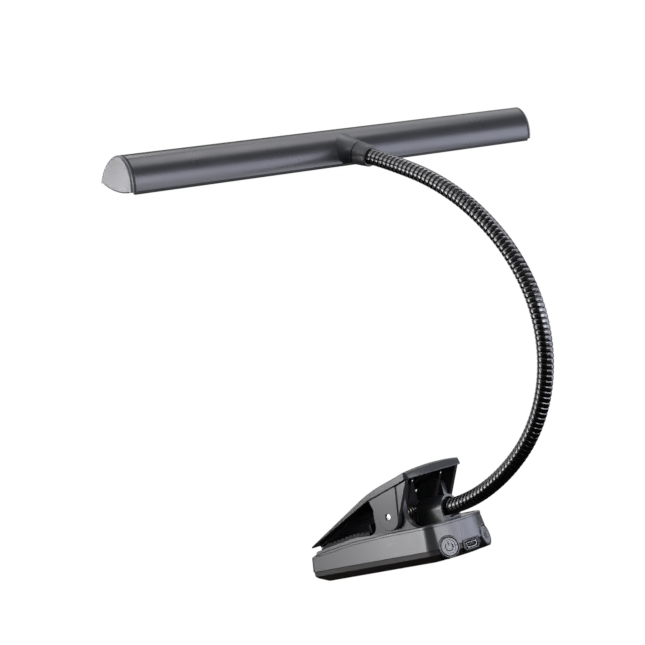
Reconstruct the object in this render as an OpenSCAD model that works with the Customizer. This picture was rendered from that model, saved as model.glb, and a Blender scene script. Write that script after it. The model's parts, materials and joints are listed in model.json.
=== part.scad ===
// Clip-on music stand lamp: a bar of light on a gooseneck that rises from a sprung clip.
// Origin: middle of the base's flat underside. +Z is up, +Y is the button end, X runs along the bar.
// All sizes are in millimetres and all angles in degrees.

/* [Base] */
// Length of the base, jaw end to button end
base_len = 93; // [87:1:112]
// Width of the base at the parting line
base_w = 44; // [42:1:56]
// Height of the base at its rear rim
base_h = 18.3; // [17:0.1:24]
// Height of the line where the upper shell meets the bottom cover
parting_z = 6; // [5.5:0.1:6.5]
// Lean of the shell's walls
draft = 8; // [2:0.5:10]
// Wall of the shell
wall = 2; // [1.6:0.1:2.4]
// Plan radius of the bowed rear face
rear_r = 38; // [34:1:60]
// Plan radius of the two rear corners
rear_corner_r = 8; // [6:0.5:9]
// Plan radius of the two front corners
front_corner_r = 3; // [2:0.5:5]
// Floor of the bottom cover
floor_t = 1.6; // [1.4:0.1:2]
// Height of the bottom cover's upright band above the table
band_z = 3.6; // [3:0.1:4.4]
// Set-back of the bottom cover behind the shell
band_inset = 0.5; // [0.2:0.1:0.8]
// Width of the bevel under the sides and the rear
side_bevel = 3.4; // [2:0.1:3.8]
// Width of the bevel under the jaw end
front_bevel = 7.5; // [4:0.5:9]

/* [Rim and top cover] */
// Drop of the rim at the jaw end
rim_front_drop = 5.4; // [4.5:0.1:6]
// Drop of the rim where the steep front stretch ends
rim_knee_drop = 3.6; // [2.5:0.1:4]
// Length of the steep front stretch
rim_knee_run = 5.5; // [4:0.5:8]
// Drop of the rim at the end of the jaw
rim_mid_drop = 0.9; // [0.4:0.1:1.5]
// Distance from the jaw end to that point
rim_mid_run = 33; // [28:1:36]
// Distance from the jaw end to where the rim is level
rim_level_run = 58; // [52:1:70]
// Height of the top cover over the rim at the jaw end
cover_rise = 1.3; // [0.8:0.1:1.6]
// Height of the top cover over the rim at the end of the jaw
cover_mid_rise = 1.7; // [1:0.1:1.8]
// Thickness of the top cover
cover_t = 1.8; // [1.4:0.1:2.4]

/* [Clip] */
// Diameter of the pivot pin
pin_d = 3.2; // [2.5:0.1:4]
// Distance of the pin from the rear of the base
pin_from_rear = 31.8; // [30:0.2:34]
// Height of the pin over the rear rim
pin_rise = 7.7; // [7.4:0.1:9]
// Radius of the ears round the pin
ear_r = 6.8; // [6:0.1:7.2]
// Thickness of the ears
ear_t = 2.8; // [2:0.1:3.2]
// Radius of the base's cheeks round the pin
cheek_r = 12.5; // [11:0.1:12.8]
// Thickness of the cheeks
cheek_t = 3; // [2.5:0.1:3.6]
// Width of the clip lever
lever_w = 41.6; // [40:0.2:44]
// Thickness of the lever's top
plate_t = 2.4; // [2:0.1:2.6]
// Rise of the lever's crown, middle over edge
lever_crown = 1.3; // [0.6:0.1:1.5]
// Radius that blends the jaw into the handle
knee_r = 100; // [40:1:120]
// Reach of the handle behind the pin
handle_reach = 19.7; // [16:0.1:20.5]
// Slope of the jaw when it is closed
jaw_angle = 23.5; // [21:0.1:26]
// Slope of the handle when the jaw is closed
handle_angle = 12.5; // [9:0.1:14]
// Thickness of the jaw's rubber
upper_pad_t = 1.7; // [1.4:0.1:2.4]
// Thickness of the base's rubber
lower_pad_t = 2; // [1.2:0.1:2.2]
// Width of both rubbers
pad_w = 34; // [26:1:35]
// Spacing of the rubbers' grip ribs
grip_pitch = 3; // [2:0.2:5]

/* [Clip spring] */
// Diameter of the spring wire
wire_d = 1.4; // [1:0.1:1.5]
// Radius of the coils at the middle of the wire
coil_r = 3.4; // [3:0.1:3.8]
// Turns in each of the two coils
coil_turns = 3; // [2:1:3]
// Spacing of the turns
coil_pitch = 1.95; // [1.95:0.05:2.1]
// Distance of the coils' inner ends from the middle
coil_start_x = 5; // [4:0.1:5.4]

/* [Buttons and inlet] */
// Diameter of a button
button_d = 9.2; // [8:0.1:9.6]
// Distance of the buttons from the side of the base
button_from_side = 8.2; // [7.7:0.1:9]
// Depth of a button's cap
button_t = 3; // [2.4:0.1:3.4]
// Travel of a button
button_travel = 0.5; // [0.2:0.05:0.6]
// Wall of the ring round a button
ring_t = 0.7; // [0.5:0.1:0.9]
// Width of the inlet's cut-out
inlet_w = 8.6; // [8.2:0.1:9.4]
// Height of the inlet's cut-out
inlet_h = 3.4; // [3.2:0.1:3.6]
// Width of the inlet's metal shell
socket_w = 7.5; // [7:0.1:7.8]
// Height of the inlet's metal shell
socket_h = 2.6; // [2.4:0.1:2.9]

/* [Gooseneck] */
// Diameter over the ribs
neck_d = 8; // [7:0.1:8.4]
// Bore of the gooseneck
neck_bore = 3.6; // [3.2:0.1:3.8]
// Depth of the groove between two ribs
rib_depth = 0.7; // [0.4:0.1:0.9]
// Spacing of the ribs
rib_pitch = 2.6; // [2.4:0.05:2.7]
// Ribs in one section
ribs_per_section = 11; // [9:1:12]
// Gap between two sections, where the gooseneck flexes
flex_gap = 0.8; // [0.7:0.05:0.9]
// Height of the gooseneck where it leaves the base, over the rear rim
neck_rise = 5.7; // [5.5:0.1:7.5]
// Diameter of the cable inside
cable_d = 3; // [2:0.1:3]

/* [Light bar] */
// Length of the bar over its end caps
bar_len = 290; // [200:1:360]
// Depth of the bar across its flat side
bar_w = 21.5; // [21:0.1:24]
// Height of the arched back over the flat side
bar_h = 15; // [14.6:0.1:17]
// Fullness of the arch: 2 is an ellipse
bar_fullness = 1.8; // [1.7:0.05:2.4]
// Wall of the housing
bar_wall = 1.6; // [1.2:0.1:1.8]
// Bulge of the lens below the flat side
lens_bulge = 2; // [1:0.1:2.6]
// Thickness of the lens
lens_t = 1.4; // [1:0.1:1.6]
// Thickness of an end cap
cap_t = 2.5; // [1.5:0.1:4]
// Number of light-emitting chips
chip_count = 24; // [10:1:28]
// Outer diameter of the collar at its mouth
collar_d = 10.6; // [10.4:0.1:11.4]
// Length of the collar
collar_len = 8; // [6.5:0.1:10]

/* [Hidden] */
$fn = 64;

// Clearances
fit = 0.15;          // between parts that are clipped or screwed together
slip = 0.05;         // between a shaft and its hole
loose = 0.3;         // between parts that move past each other
over = 1;            // how far a cut reaches past the face that it opens
lap = 0.01;          // how far two cuts lie over each other

// Feet of the cheeks
cheek_front_flare = 5;
cheek_rear_flare = 8.5;
cheek_rear = 8.4;
cheek_lean = 4;
flare_lift = 0.4;

// Places on the base
front_y = -base_len / 2;
rear_y = base_len / 2;
top_z = base_h + 2 * over;
lean = tan(draft);
pin_y = rear_y - pin_from_rear;
pin_z = base_h + pin_rise;
boss_from_rear = 8.5;
boss_rear_y = rear_y - boss_from_rear;
boss_len = 17;
boss_wall = 2.4;
boss_r = neck_d / 2 + boss_wall;
boss_recess = 3;
boss_rim = 1.1;
neck_y = boss_rear_y - boss_recess;
neck_z = base_h + neck_rise;
ferrule_inset = 0.2;
ferrule_r = neck_d / 2 - ferrule_inset;
ferrule_len = 7;
cable_bend_r = 4;
cable_drop_y = neck_y - ferrule_len - cable_bend_r;

// The rim seen from the side, from the jaw end to the rear, raised by these amounts
rim_slope = (rim_front_drop - rim_knee_drop) / rim_knee_run;
function rim_line(front_dz, mid_dz, rear_dz) = [
    [front_y - over, base_h - rim_front_drop - rim_slope * over + front_dz],
    [front_y + rim_knee_run, base_h - rim_knee_drop + front_dz],
    [front_y + rim_mid_run, base_h - rim_mid_drop + mid_dz],
    [front_y + rim_level_run, base_h + rear_dz],
    [rear_y + over, base_h + rear_dz]];
cover_sink = 0.3;
function cover_line(dz) = rim_line(cover_rise + dz, cover_mid_rise + dz, -cover_sink + dz);
// Height of the top cover at a place y
function cover_at(y) = lookup(y, cover_line(0));

// The rubbers: the jaw's front edge rests just over the front edge of the base's one
pad_gap = 0.3;
grip_groove_w = 1.2;
pad_set_back = 1;
lower_pad_tip_t = 0.8;
lower_pad_ramp = 6;
lower_pad_y0 = front_y + rim_knee_run + pad_set_back;
lower_pad_y1 = pin_y - cheek_r - cheek_front_flare - pad_set_back;
grip_point = [lower_pad_y0, cover_at(lower_pad_y0) + lower_pad_tip_t + pad_gap];

// The clip lever seen from the side, at the middle of its width
knee_ahead = 8.4;
ear_ahead = 10.7;
ear_neck = 10;
ear_behind = 9.7;
ear_shoulder = 14.4;
ear_tangent = 25;
skirt_ahead = 10.4;
skirt_over = 10.2;
tip_set_back = 3;
knee_y = pin_y - knee_ahead;
plate_square_t = plate_t * cos(jaw_angle);
jaw_point = grip_point + (plate_square_t + upper_pad_t) * [-sin(jaw_angle), cos(jaw_angle)];
function on_jaw(y) = [y, jaw_point[1] + (y - jaw_point[0]) * tan(jaw_angle)];
tip = on_jaw(front_y + tip_set_back);
knee = on_jaw(knee_y);
tail = knee + (pin_y + handle_reach - knee_y) * [1, tan(handle_angle)];
jaw_len = norm(knee - tip);
pad_short = knee_r * tan((jaw_angle - handle_angle) / 2) + plate_t * sin(jaw_angle) + slip;
pad_from = (grip_point - tip) * [cos(jaw_angle), sin(jaw_angle)];
tip_relief = 0.4;
tip_solid = pad_from * cos(jaw_angle) - tip_relief;
tip_t = 2;
tip_corner_r = 1;
tail_corner_r = 2;
tail_edge_r = 2;
tail_bow = 1.2;
tail_bow_run = 8;
lip_h = 5;
skirt_t = 1.8;
lip_t = 3;
plate_skin = 0.4;
// Points of an arc of radius r that rounds the corner b between a and c, in n steps
function corner_arc(a, b, c, r, n) =
    let (
        u = (a - b) / norm(a - b),
        v = (c - b) / norm(c - b),
        half = acos(u * v) / 2,
        reach = r / tan(half),
        mid = b + (u + v) / norm(u + v) * r / sin(half),
        from = b + u * reach - mid,
        to = b + v * reach - mid,
        sweep = 180 - 2 * half,
        turn = from[0] * to[1] - from[1] * to[0] > 0 ? 1 : -1)
    [for (i = [0:n])
        let (t = turn * sweep * i / n)
        mid + [from[0] * cos(t) - from[1] * sin(t), from[0] * sin(t) + from[1] * cos(t)]];
knee_arc = corner_arc(tip, knee, tail, knee_r, 10);
function lever_top(dz) = [for (p = concat([tip], knee_arc, [tail])) p + [0, dz]];
ear_set_back = 0.5;
ear_outer_x = lever_w / 2 - ear_set_back;
ear_inner_x = ear_outer_x - ear_t;
cheek_outer_x = ear_inner_x - loose;
cheek_inner_x = cheek_outer_x - cheek_t;

// Buttons stand square to the bowed and leaning rear face
button_x = base_w / 2 - button_from_side;
splay = asin(button_x / rear_r);
button_y = rear_y - rear_r + rear_r * cos(splay);
button_gap = 0.2;
ring_r = button_d / 2 + button_gap + ring_t;
ring_len = 5;
ring_proud = 0.3;
stem_d = 3;
stem_len = 1.6;
inlet_z = 4.2;
tab_margin = 1.7;
tab_w = inlet_w + 2 * tab_margin;
tab_rim = 1;
tab_t = 1.2 * wall;
tab_front_y = rear_y - tab_t;

// Pocket of the bottom cover, with the board and the cell on its floor
pocket_wall = 0.8;
pocket_inset = band_inset + side_bevel + pocket_wall;
pocket_hw = base_w / 2 - pocket_inset;
pocket_over_bevel = 0.5;
pocket_from_rear = 6;
pocket_y0 = front_y + band_inset + front_bevel - pocket_over_bevel;
pocket_y1 = rear_y - pocket_from_rear;
board_t = 1.2;
board_from_rear = 7;
board_len = 15.2;
board_rear_y = rear_y - board_from_rear;
board_front_y = board_rear_y - board_len;
post_r = 2.6;
post_foot_grow = 0.4;
post_from_side = 7.4;
post_x = base_w / 2 - post_from_side;
post_front_y = pocket_y0 + post_r + loose;
post_from_rear = 26;
post_rear_y = rear_y - post_from_rear;
post_foot_z = 3.2;
screw_d = 1.7;
screw_len = 8;
screw_head_d = 4.2;
screw_head_t = 1.2;
cell_side_gap = 1.3;
cell_w = 2 * (pocket_hw - cell_side_gap);
cell_h = 8.5;
cell_gap = 1;

// The gooseneck: sections of equal length, each bent to a circular arc
SECTIONS = 9;
section_len = ribs_per_section * rib_pitch + flex_gap;
// Turn of each section from the base to the bar, as it stands in use
section_turn = [19, 15.4, 22, 23.2, 23.4, 18, 14.5, 13, 4.8];
function turned(i) = i == 0 ? 0 : turned(i - 1) + section_turn[i - 1];
// End of an arc of length s and turn t that leaves p at the angle a
function arc_end(p, a, s, t) =
    abs(t) < 0.01
        ? p + s * [cos(a), sin(a)]
        : p + s / (t * PI / 180) * [sin(a + t) - sin(a), cos(a) - cos(a + t)];
function section_start(i) =
    i == 0 ? [neck_y, neck_z] : arc_end(section_start(i - 1), turned(i - 1), section_len, section_turn[i - 1]);
// Point and heading at the distance s along section i
function along(i, s) = arc_end(section_start(i), turned(i), s, section_turn[i] * s / section_len);
function heading(i, s) = turned(i) + section_turn[i] * s / section_len;
head_angle = turned(SECTIONS) - 180;
rib_sides = 8;
end_wall = 0.6;
end_r = neck_bore / 2 + end_wall;

// The light bar, in its own frame: flat side at z = 0, arch above, collar towards +y
collar_z = 6.4;
neck_root_r = 6.4;
neck_end_r = 5.9;
neck_end_y = 16;
collar_groove = 0.4;
collar_y = neck_end_y + collar_groove;
collar_mouth_y = collar_y + collar_len;
seat_depth = 1.5;
seat_y = collar_mouth_y - seat_depth;
spigot_wall = 1;
spigot_r = ferrule_r + slip + spigot_wall;
spigot_len = 3;
housing_len = bar_len - 2 * cap_t;
plug_len = 3;
rail_z = 3;
rail_h = 1;
rail_w = 3;
rail_out = 0.8;
lens_side = 0.6;
led_board_w = 15;
led_board_t = 1;
led_board_len = housing_len - 2 * plug_len - 2 * loose;
chip = [3.5, 2.8, 0.8];
ARCH_STEPS = 36;
function arch_point(t, hw, h) = [
    hw * sign(cos(t)) * pow(abs(cos(t)), 2 / bar_fullness),
    h * pow(abs(sin(t)), 2 / bar_fullness)];

// Outline of the base from above, set in by inset: straight sides, rounded corners and a bowed rear
FRONT_STEPS = 4;
CORNER_STEPS = 8;
BOW_STEPS = 12;
least_r = 0.4;
function arc_points(mid, r, a0, a1, n) = [
    for (i = [0:n])
        let (a = a0 + (a1 - a0) * i / n)
        mid + r * [cos(a), sin(a)]];
function plan_points(inset) =
    let (
        hw = base_w / 2 - inset,
        fr = max(front_corner_r - inset, least_r),
        rr = max(rear_corner_r - inset, least_r),
        bow = rear_r - inset,
        bow_mid = [0, rear_y - rear_r],
        edge = asin((hw - rr) / (bow - rr)),
        front = [hw - fr, front_y + inset + fr],
        rear = bow_mid + (bow - rr) * [sin(edge), cos(edge)],
        right = concat(
            arc_points(front, fr, -90, 0, FRONT_STEPS),
            arc_points(rear, rr, 0, 90 - edge, CORNER_STEPS)),
        bowed = arc_points(bow_mid, bow, 90 - edge, 90 + edge, BOW_STEPS),
        n = len(right))
    concat(
        right,
        [for (i = [1:BOW_STEPS - 1]) bowed[i]],
        [for (i = [n - 1:-1:0]) [-right[i][0], right[i][1]]]);
function ring_at(points, z) = [for (p = points) [p[0], p[1], z]];

// Sweeps

// A solid through rings of points, from the lowest ring to the highest
module loft(rings) {
    n = len(rings[0]);
    last = (len(rings) - 1) * n;
    polyhedron([for (ring = rings) each ring], concat(
        [[for (j = [0:n - 1]) j]],
        strip_faces(len(rings), n, 0, true),
        [[for (j = [n - 1:-1:0]) last + j]]));
}
// A solid between an upper and a lower sheet: rows of points that run to +x and follow each other to +y
module slab(upper, lower) {
    n = len(upper[0]);
    rows = len(upper);
    size = n * rows;
    function quad(a, b, c, d) = [[a, b, c], [a, c, d]];
    sheets = [
        for (i = [0:rows - 2], j = [0:n - 2])
            let (a = i * n + j, b = a + 1, c = b + n, d = a + n)
            each concat(quad(a, d, c, b), quad(size + a, size + b, size + c, size + d))];
    ends = [
        for (j = [0:n - 2])
            let (f = j, r = (rows - 1) * n + j)
            each concat(
                quad(f, f + 1, size + f + 1, size + f), quad(r + 1, r, size + r, size + r + 1))];
    sides = [
        for (i = [0:rows - 2])
            let (l = i * n, r = i * n + n - 1)
            each concat(
                quad(l + n, l, size + l, size + l + n), quad(r, r + n, size + r + n, size + r))];
    polyhedron(
        concat([for (row = upper) each row], [for (row = lower) each row]),
        concat(sheets, ends, sides));
}
// Unit heading at each point of a path
function headings(path) = [
    for (i = [0:len(path) - 1])
        let (d = path[min(i + 1, len(path) - 1)] - path[max(i - 1, 0)])
        d / norm(d)];
// Side vectors carried along the headings without twist
function carried(h, i, side) =
    let (flat = side - (side * h[i]) * h[i], unit = flat / norm(flat))
    i == len(h) - 1 ? [unit] : concat([unit], carried(h, i + 1, unit));
// One unbroken round tube along a path, with flat ends
module tube(path, r, sides, side) {
    h = headings(path);
    s = carried(h, 0, side);
    n = len(path);
    points = [
        for (i = [0:n - 1])
            let (up = cross(h[i], s[i]))
            for (j = [0:sides - 1])
                path[i] + r * (cos(360 * j / sides) * s[i] - sin(360 * j / sides) * up)];
    polyhedron(points, concat(
        [[for (j = [sides - 1:-1:0]) j]],
        strip_faces(n, sides, 0, false),
        [[for (j = [0:sides - 1]) (n - 1) * sides + j]]));
}
// Triangles between rings of points that start at the index first
function strip_faces(rings, sides, first, flip) = [
    for (k = [0:rings - 2], j = [0:sides - 1], half = [0, 1])
        let (
            a = first + k * sides + j,
            b = first + k * sides + (j + 1) % sides,
            c = b + sides,
            d = a + sides,
            face = half == 0 ? [a, b, c] : [a, c, d])
        flip ? [face[2], face[1], face[0]] : face];
// A ring of points round the gooseneck's centre line at the distance s along section i
function neck_ring(i, s, r) =
    let (p = along(i, s), a = heading(i, s))
    [for (j = [0:rib_sides - 1])
        let (q = 360 * (j + 0.5) / rib_sides)
        [r * cos(q), p[0] - r * sin(q) * sin(a), p[1] + r * sin(q) * cos(a)]];

// Base

// Extrudes a side view, drawn as (y, z), across the width w
module across(w) {
    rotate([90, 0, 90]) linear_extrude(w, center = true) children();
}
// Extrudes a front view, drawn as (x, z), from y0 to y1
module lengthwise(y0, y1) {
    translate([0, y1, 0]) rotate([90, 0, 0]) linear_extrude(y1 - y0) children();
}
// The leaning form of the shell between two heights, set in by inset
module shell_form(inset, z0, z1) {
    loft([for (z = [z0, z1]) ring_at(plan_points(inset + (z - parting_z) * lean), z)]);
}
module below_line(points, floor_z) {
    across(base_w + 2 * over)
        polygon(concat([[points[0][0], floor_z]], points, [[points[len(points) - 1][0], floor_z]]));
}
// Places children on a button's axis, with +z pointing out of the rear face
module at_button(side) {
    translate([side * button_x, button_y, parting_z]) rotate([draft - 90, 0, -side * splay]) children();
}
module button_ring(grow) {
    translate([0, 0, -ring_len - grow]) cylinder(h = ring_len + ring_proud + 2 * grow, r = ring_r + grow);
}
// Outline of the tongue round the inlet, drawn as (x, z)
module inlet_tab(grow) {
    hw = tab_w / 2 + grow;
    low = inlet_z - inlet_h / 2 - tab_rim - grow;
    bevel = 1.4;
    polygon([
        [-hw, low + bevel], [bevel - hw, low], [hw - bevel, low], [hw, low + bevel],
        [hw, parting_z + over], [-hw, parting_z + over]]);
}
module rear_skin(inset, deep) {
    intersection() {
        lengthwise(rear_y - deep, rear_y + over) children();
        translate([0, rear_y - rear_r, 0]) cylinder(h = parting_z + 2 * over, r = rear_r - inset, $fn = 128);
    }
}
module base_shell() {
    color("#6a6c70") difference() {
        union() {
            difference() {
                intersection() {
                    shell_form(0, parting_z, top_z);
                    below_line(rim_line(0, 0, 0), parting_z - over);
                }
                shell_form(wall, parting_z - over, top_z + over);
            }
            for (side = [-1, 1]) at_button(side) button_ring(0);
            rear_skin(0, rear_y - tab_front_y) inlet_tab(0);
        }
        for (side = [-1, 1]) at_button(side)
            translate([0, 0, -ring_len - over])
                cylinder(h = ring_len + 4 * over, r = button_d / 2 + button_gap);
        lengthwise(rear_y - 4 * wall, rear_y + over)
            translate([-inlet_w / 2, inlet_z - inlet_h / 2]) square([inlet_w, inlet_h]);
    }
}
module bottom_form() {
    y0 = front_y + band_inset;
    reach = front_bevel * over / band_z;
    difference() {
        loft([
            ring_at(plan_points(band_inset + side_bevel), 0),
            ring_at(plan_points(band_inset), band_z),
            ring_at(plan_points(band_inset), parting_z)]);
        across(base_w + 2 * over) polygon([
            [y0 + front_bevel + reach, -over], [y0 - reach, band_z + over], [y0 - reach - over, -over]]);
    }
}
module at_posts() {
    for (x = [-post_x, post_x], y = [post_front_y, post_rear_y]) translate([x, y, 0]) children();
}
module base_bottom_cover() {
    color("#3a3735") difference() {
        union() {
            difference() {
                bottom_form();
                translate([0, 0, floor_t]) linear_extrude(parting_z) intersection() {
                    polygon(plan_points(pocket_inset));
                    translate([-base_w, pocket_y0]) square([2 * base_w, pocket_y1 - pocket_y0]);
                }
            }
            at_posts() translate([0, 0, floor_t / 2])
                cylinder(h = post_foot_z - floor_t / 2, r = post_r + post_foot_grow);
        }
        at_posts() {
            translate([0, 0, -over]) cylinder(h = post_foot_z + 2 * over, d = screw_d + 2 * loose);
            translate([0, 0, -over]) cylinder(h = over + screw_head_t + loose, d = screw_head_d + 2 * loose);
        }
        for (side = [-1, 1]) at_button(side) button_ring(fit);
        lengthwise(pocket_y1 - over, rear_y + over) inlet_tab(fit);
    }
}
// A cheek of the base that carries the pin, drawn as (y, z)
module cheek_outline() {
    foot_z = base_h - cover_t / 2;
    front = pin_y - cheek_r;
    rear = pin_y + cheek_rear;
    flare_f = cheek_front_flare;
    flare_r = cheek_rear_flare;
    difference() {
        union() {
            intersection() {
                translate([pin_y, pin_z]) circle(cheek_r);
                polygon([
                    [front - over, pin_z], [rear, pin_z], [rear + cheek_lean, pin_z + cheek_r],
                    [front - over, pin_z + cheek_r]]);
            }
            translate([front - flare_f, foot_z])
                square([rear + flare_r - front + flare_f, pin_z - foot_z]);
        }
        translate([front - flare_f, cover_at(front) + flare_f + flare_lift]) circle(flare_f);
        translate([front - flare_f - over, cover_at(front) + flare_f + flare_lift])
            square([flare_f + over, pin_z]);
        translate([rear + flare_r, base_h + flare_r - cover_sink]) circle(flare_r);
        translate([rear, base_h + flare_r - cover_sink]) square([flare_r + over, pin_z]);
    }
}
// An arch of radius r on upright sides, drawn as (x, z)
module arch(r, low_z) {
    translate([0, neck_z]) circle(r);
    translate([-r, low_z]) square([2 * r, neck_z - low_z]);
}
// Channel in the boss where the cable turns down into the base
module cable_channel() {
    w = cable_d + 2 * loose;
    low_z = base_h - 2 * cover_t;
    high_z = neck_z + w / 2;
    translate([-w / 2, cable_drop_y - w / 2, low_z])
        cube([w, neck_y - ferrule_len - cable_drop_y + w / 2, high_z - low_z]);
}
module base_top_cover() {
    top = cover_line(0);
    under = cover_line(-cover_t);
    band = concat(top, [for (i = [len(under) - 1:-1:0]) under[i]]);
    color("#5d5f63") difference() {
        union() {
            intersection() {
                shell_form(wall + fit, parting_z, top_z);
                across(base_w) polygon(band);
            }
            for (side = [-1, 1])
                translate([side * (cheek_inner_x + cheek_t / 2), 0, 0]) across(cheek_t) cheek_outline();
            lengthwise(boss_rear_y - boss_len, boss_rear_y) arch(boss_r, base_h - cover_t);
            for (x = [-post_x, post_x], y = [post_front_y, post_rear_y]) translate([x, y, post_foot_z])
                cylinder(h = cover_at(y) - cover_t / 2 - post_foot_z, r = post_r);
        }
        translate([0, pin_y, pin_z]) rotate([0, 90, 0]) cylinder(h = base_w, d = pin_d + slip, center = true);
        lengthwise(boss_rear_y - boss_recess, boss_rear_y + over)
            arch(boss_r - boss_rim, base_h + boss_rim - cover_sink);
        translate([0, boss_rear_y + over, neck_z]) rotate([90, 0, 0])
            cylinder(h = boss_recess + over + ferrule_len + loose, r = ferrule_r + slip);
        cable_channel();
        translate([0, neck_y - ferrule_len / 2, base_h - 2 * cover_t])
            cylinder(h = neck_z - base_h + 2 * cover_t, d = set_screw_d + 2 * slip);
        at_posts() translate([0, 0, post_foot_z - over])
            cylinder(h = over + screw_len, d = screw_d + slip);
    }
}
// A V-shaped groove across a rubber, with its corner cut into the face at [y, z]
module grip_groove(y, z) {
    translate([0, y, z]) rotate([45, 0, 0]) cube([2 * pad_w, grip_groove_w, grip_groove_w], center = true);
}
module lower_jaw_pad() {
    full_y = lower_pad_y0 + lower_pad_ramp;
    seat = [for (y = [lower_pad_y0, full_y, front_y + rim_mid_run, lower_pad_y1]) [y, cover_at(y)]];
    grip = [for (i = [3:-1:0]) seat[i] + [0, i == 0 ? lower_pad_tip_t : lower_pad_t]];
    color("#1d1d1d") difference() {
        across(pad_w) polygon(concat(seat, grip));
        for (y = [full_y + grip_pitch:grip_pitch:lower_pad_y1 - grip_pitch / 2])
            grip_groove(y, cover_at(y) + lower_pad_t);
    }
}
module pivot_pin() {
    pin_recess = 0.4;
    pin_len = 2 * (ear_outer_x - pin_recess);
    color("#e8e8e8") translate([-pin_len / 2, pin_y, pin_z]) rotate([0, 90, 0])
        cylinder(h = pin_len, d = pin_d);
}
// One half of the spring, from the middle of its bow to the end of its leg
spring_exit = 30;
spring_clear = 0.1;
spring_bend = 1.6;
spring_bend_mid = 0.5;
leg_reach = 9;
leg_clear = 0.4;
spring_low_z = cover_at(pin_y + coil_r) + wire_d / 2 + spring_clear;
leg_root = [pin_y + coil_r * cos(spring_exit), pin_z - coil_r * sin(spring_exit)];
leg_dir = [sin(spring_exit), cos(spring_exit)];
leg_top_z = tail[1] - plate_t + (leg_root[0] + leg_reach - tail[0]) * tan(handle_angle) - wire_d - leg_clear;
leg_len = (leg_top_z - leg_root[1]) / cos(spring_exit);
function coil_point(t) = [
    coil_start_x + coil_pitch * t / 360, pin_y + coil_r * cos(t), pin_z + coil_r * sin(t)];
coil_end = 360 * coil_turns - spring_exit;
coil_rings = 8 * coil_turns;
spring_bow = [
    for (p = [
        [-coil_start_x, 0], [-spring_bend, 0], [-spring_bend_mid, spring_bend_mid], [0, spring_bend]])
        [coil_start_x + p[0], pin_y + coil_r, spring_low_z + p[1]]];
spring_half = concat(
    spring_bow,
    [for (i = [0:coil_rings]) coil_point(coil_end * i / coil_rings)],
    [for (f = [0.15, 0.6, 1])
        let (p = leg_root + f * leg_len * leg_dir)
        [coil_point(coil_end)[0], p[0], p[1]]]);
spring_path = concat(
    [for (i = [len(spring_half) - 1:-1:1]) [-spring_half[i][0], spring_half[i][1], spring_half[i][2]]],
    spring_half);
module clip_spring() {
    color("#b9b7b0") tube(spring_path, wire_d / 2, 6, [0, 1, 0]);
}
module battery_cell() {
    l = post_rear_y - post_front_y - 2 * post_r - 2 * cell_gap;
    mid_y = (post_rear_y + post_front_y) / 2;
    corner = 2;
    color("#8e9299") translate([0, mid_y, floor_t]) {
        translate([-cell_w / 2 + corner, -l / 2, 0]) cube([cell_w - 2 * corner, l, cell_h]);
        translate([-cell_w / 2, -l / 2, corner]) cube([cell_w, l, cell_h - 2 * corner]);
        for (x = [-1, 1], z = [corner, cell_h - corner])
            translate([x * (cell_w / 2 - corner), l / 2, z]) rotate([90, 0, 0]) cylinder(h = l, r = corner);
    }
}
module main_board() {
    tongue_margin = 1.25;
    rear_gap = 0.6;
    tongue_w = socket_w + 2 * tongue_margin;
    color("#1f5a3a") translate([0, 0, floor_t]) {
        intersection() {
            linear_extrude(board_t) polygon(plan_points(pocket_inset + loose));
            translate([-base_w, board_front_y, -over])
                cube([2 * base_w, board_len - rear_gap, board_t + 2 * over]);
        }
        translate([-tongue_w / 2, board_rear_y - over, 0])
            cube([tongue_w, tab_front_y - fit - board_rear_y + over, board_t]);
    }
}
module usb_socket() {
    depth = 6;
    set_back = 1.6;
    back_t = 1.5;
    bevel = 0.8;
    metal = 0.3;
    slot = [0.8, 0.8, 0.5];
    z0 = floor_t + board_t;
    face_y = rear_y - set_back;
    hw = socket_w / 2;
    color("#c9c9c6") difference() {
        lengthwise(face_y - depth, face_y) polygon([
            [bevel - hw, z0], [hw - bevel, z0], [hw, z0 + bevel], [hw, z0 + socket_h], [-hw, z0 + socket_h],
            [-hw, z0 + bevel]]);
        lengthwise(face_y - depth + back_t, rear_y) {
            translate([metal - hw, z0 + socket_h - metal - slot[2]]) square([2 * (hw - metal), slot[2]]);
            translate([bevel - hw, z0 + metal]) square([2 * (hw - bevel), slot[1]]);
            for (side = [-1, 1])
                translate([side * (hw - metal - slot[0] / 2) - slot[0] / 2, z0 + bevel])
                    square([slot[0], socket_h - bevel - metal]);
        }
    }
}
switch_depth = 3.4;
switch_stub = 0.8;
stem_end = button_t + stem_len - ring_proud;
switch_face = stem_end + button_travel + loose + switch_stub;
module tactile_switches() {
    body_w = 6;
    body_h = 6.4;
    stub_z = parting_z - switch_face * sin(draft);
    color("#202224") for (side = [-1, 1])
        translate([side * button_x, button_y, 0]) rotate([0, 0, -side * splay]) {
            translate([-body_w / 2, -switch_face - switch_depth, floor_t + board_t])
                cube([body_w, switch_depth, body_h]);
            translate([0, -switch_face - switch_stub, stub_z]) rotate([-90, 0, 0])
                cylinder(h = 2 * switch_stub, d = stem_d);
        }
}
module base_screws() {
    color("#2a2a2a") at_posts() {
        translate([0, 0, loose]) cylinder(h = screw_head_t, d = screw_head_d);
        translate([0, 0, loose + screw_head_t / 2]) cylinder(h = screw_len + screw_head_t / 2, d = screw_d);
    }
}
set_screw_d = 3;
module neck_ferrule_lower() {
    color("#9a9a98") translate([0, neck_y, neck_z]) rotate([90, 0, 0]) ferrule();
}
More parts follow.
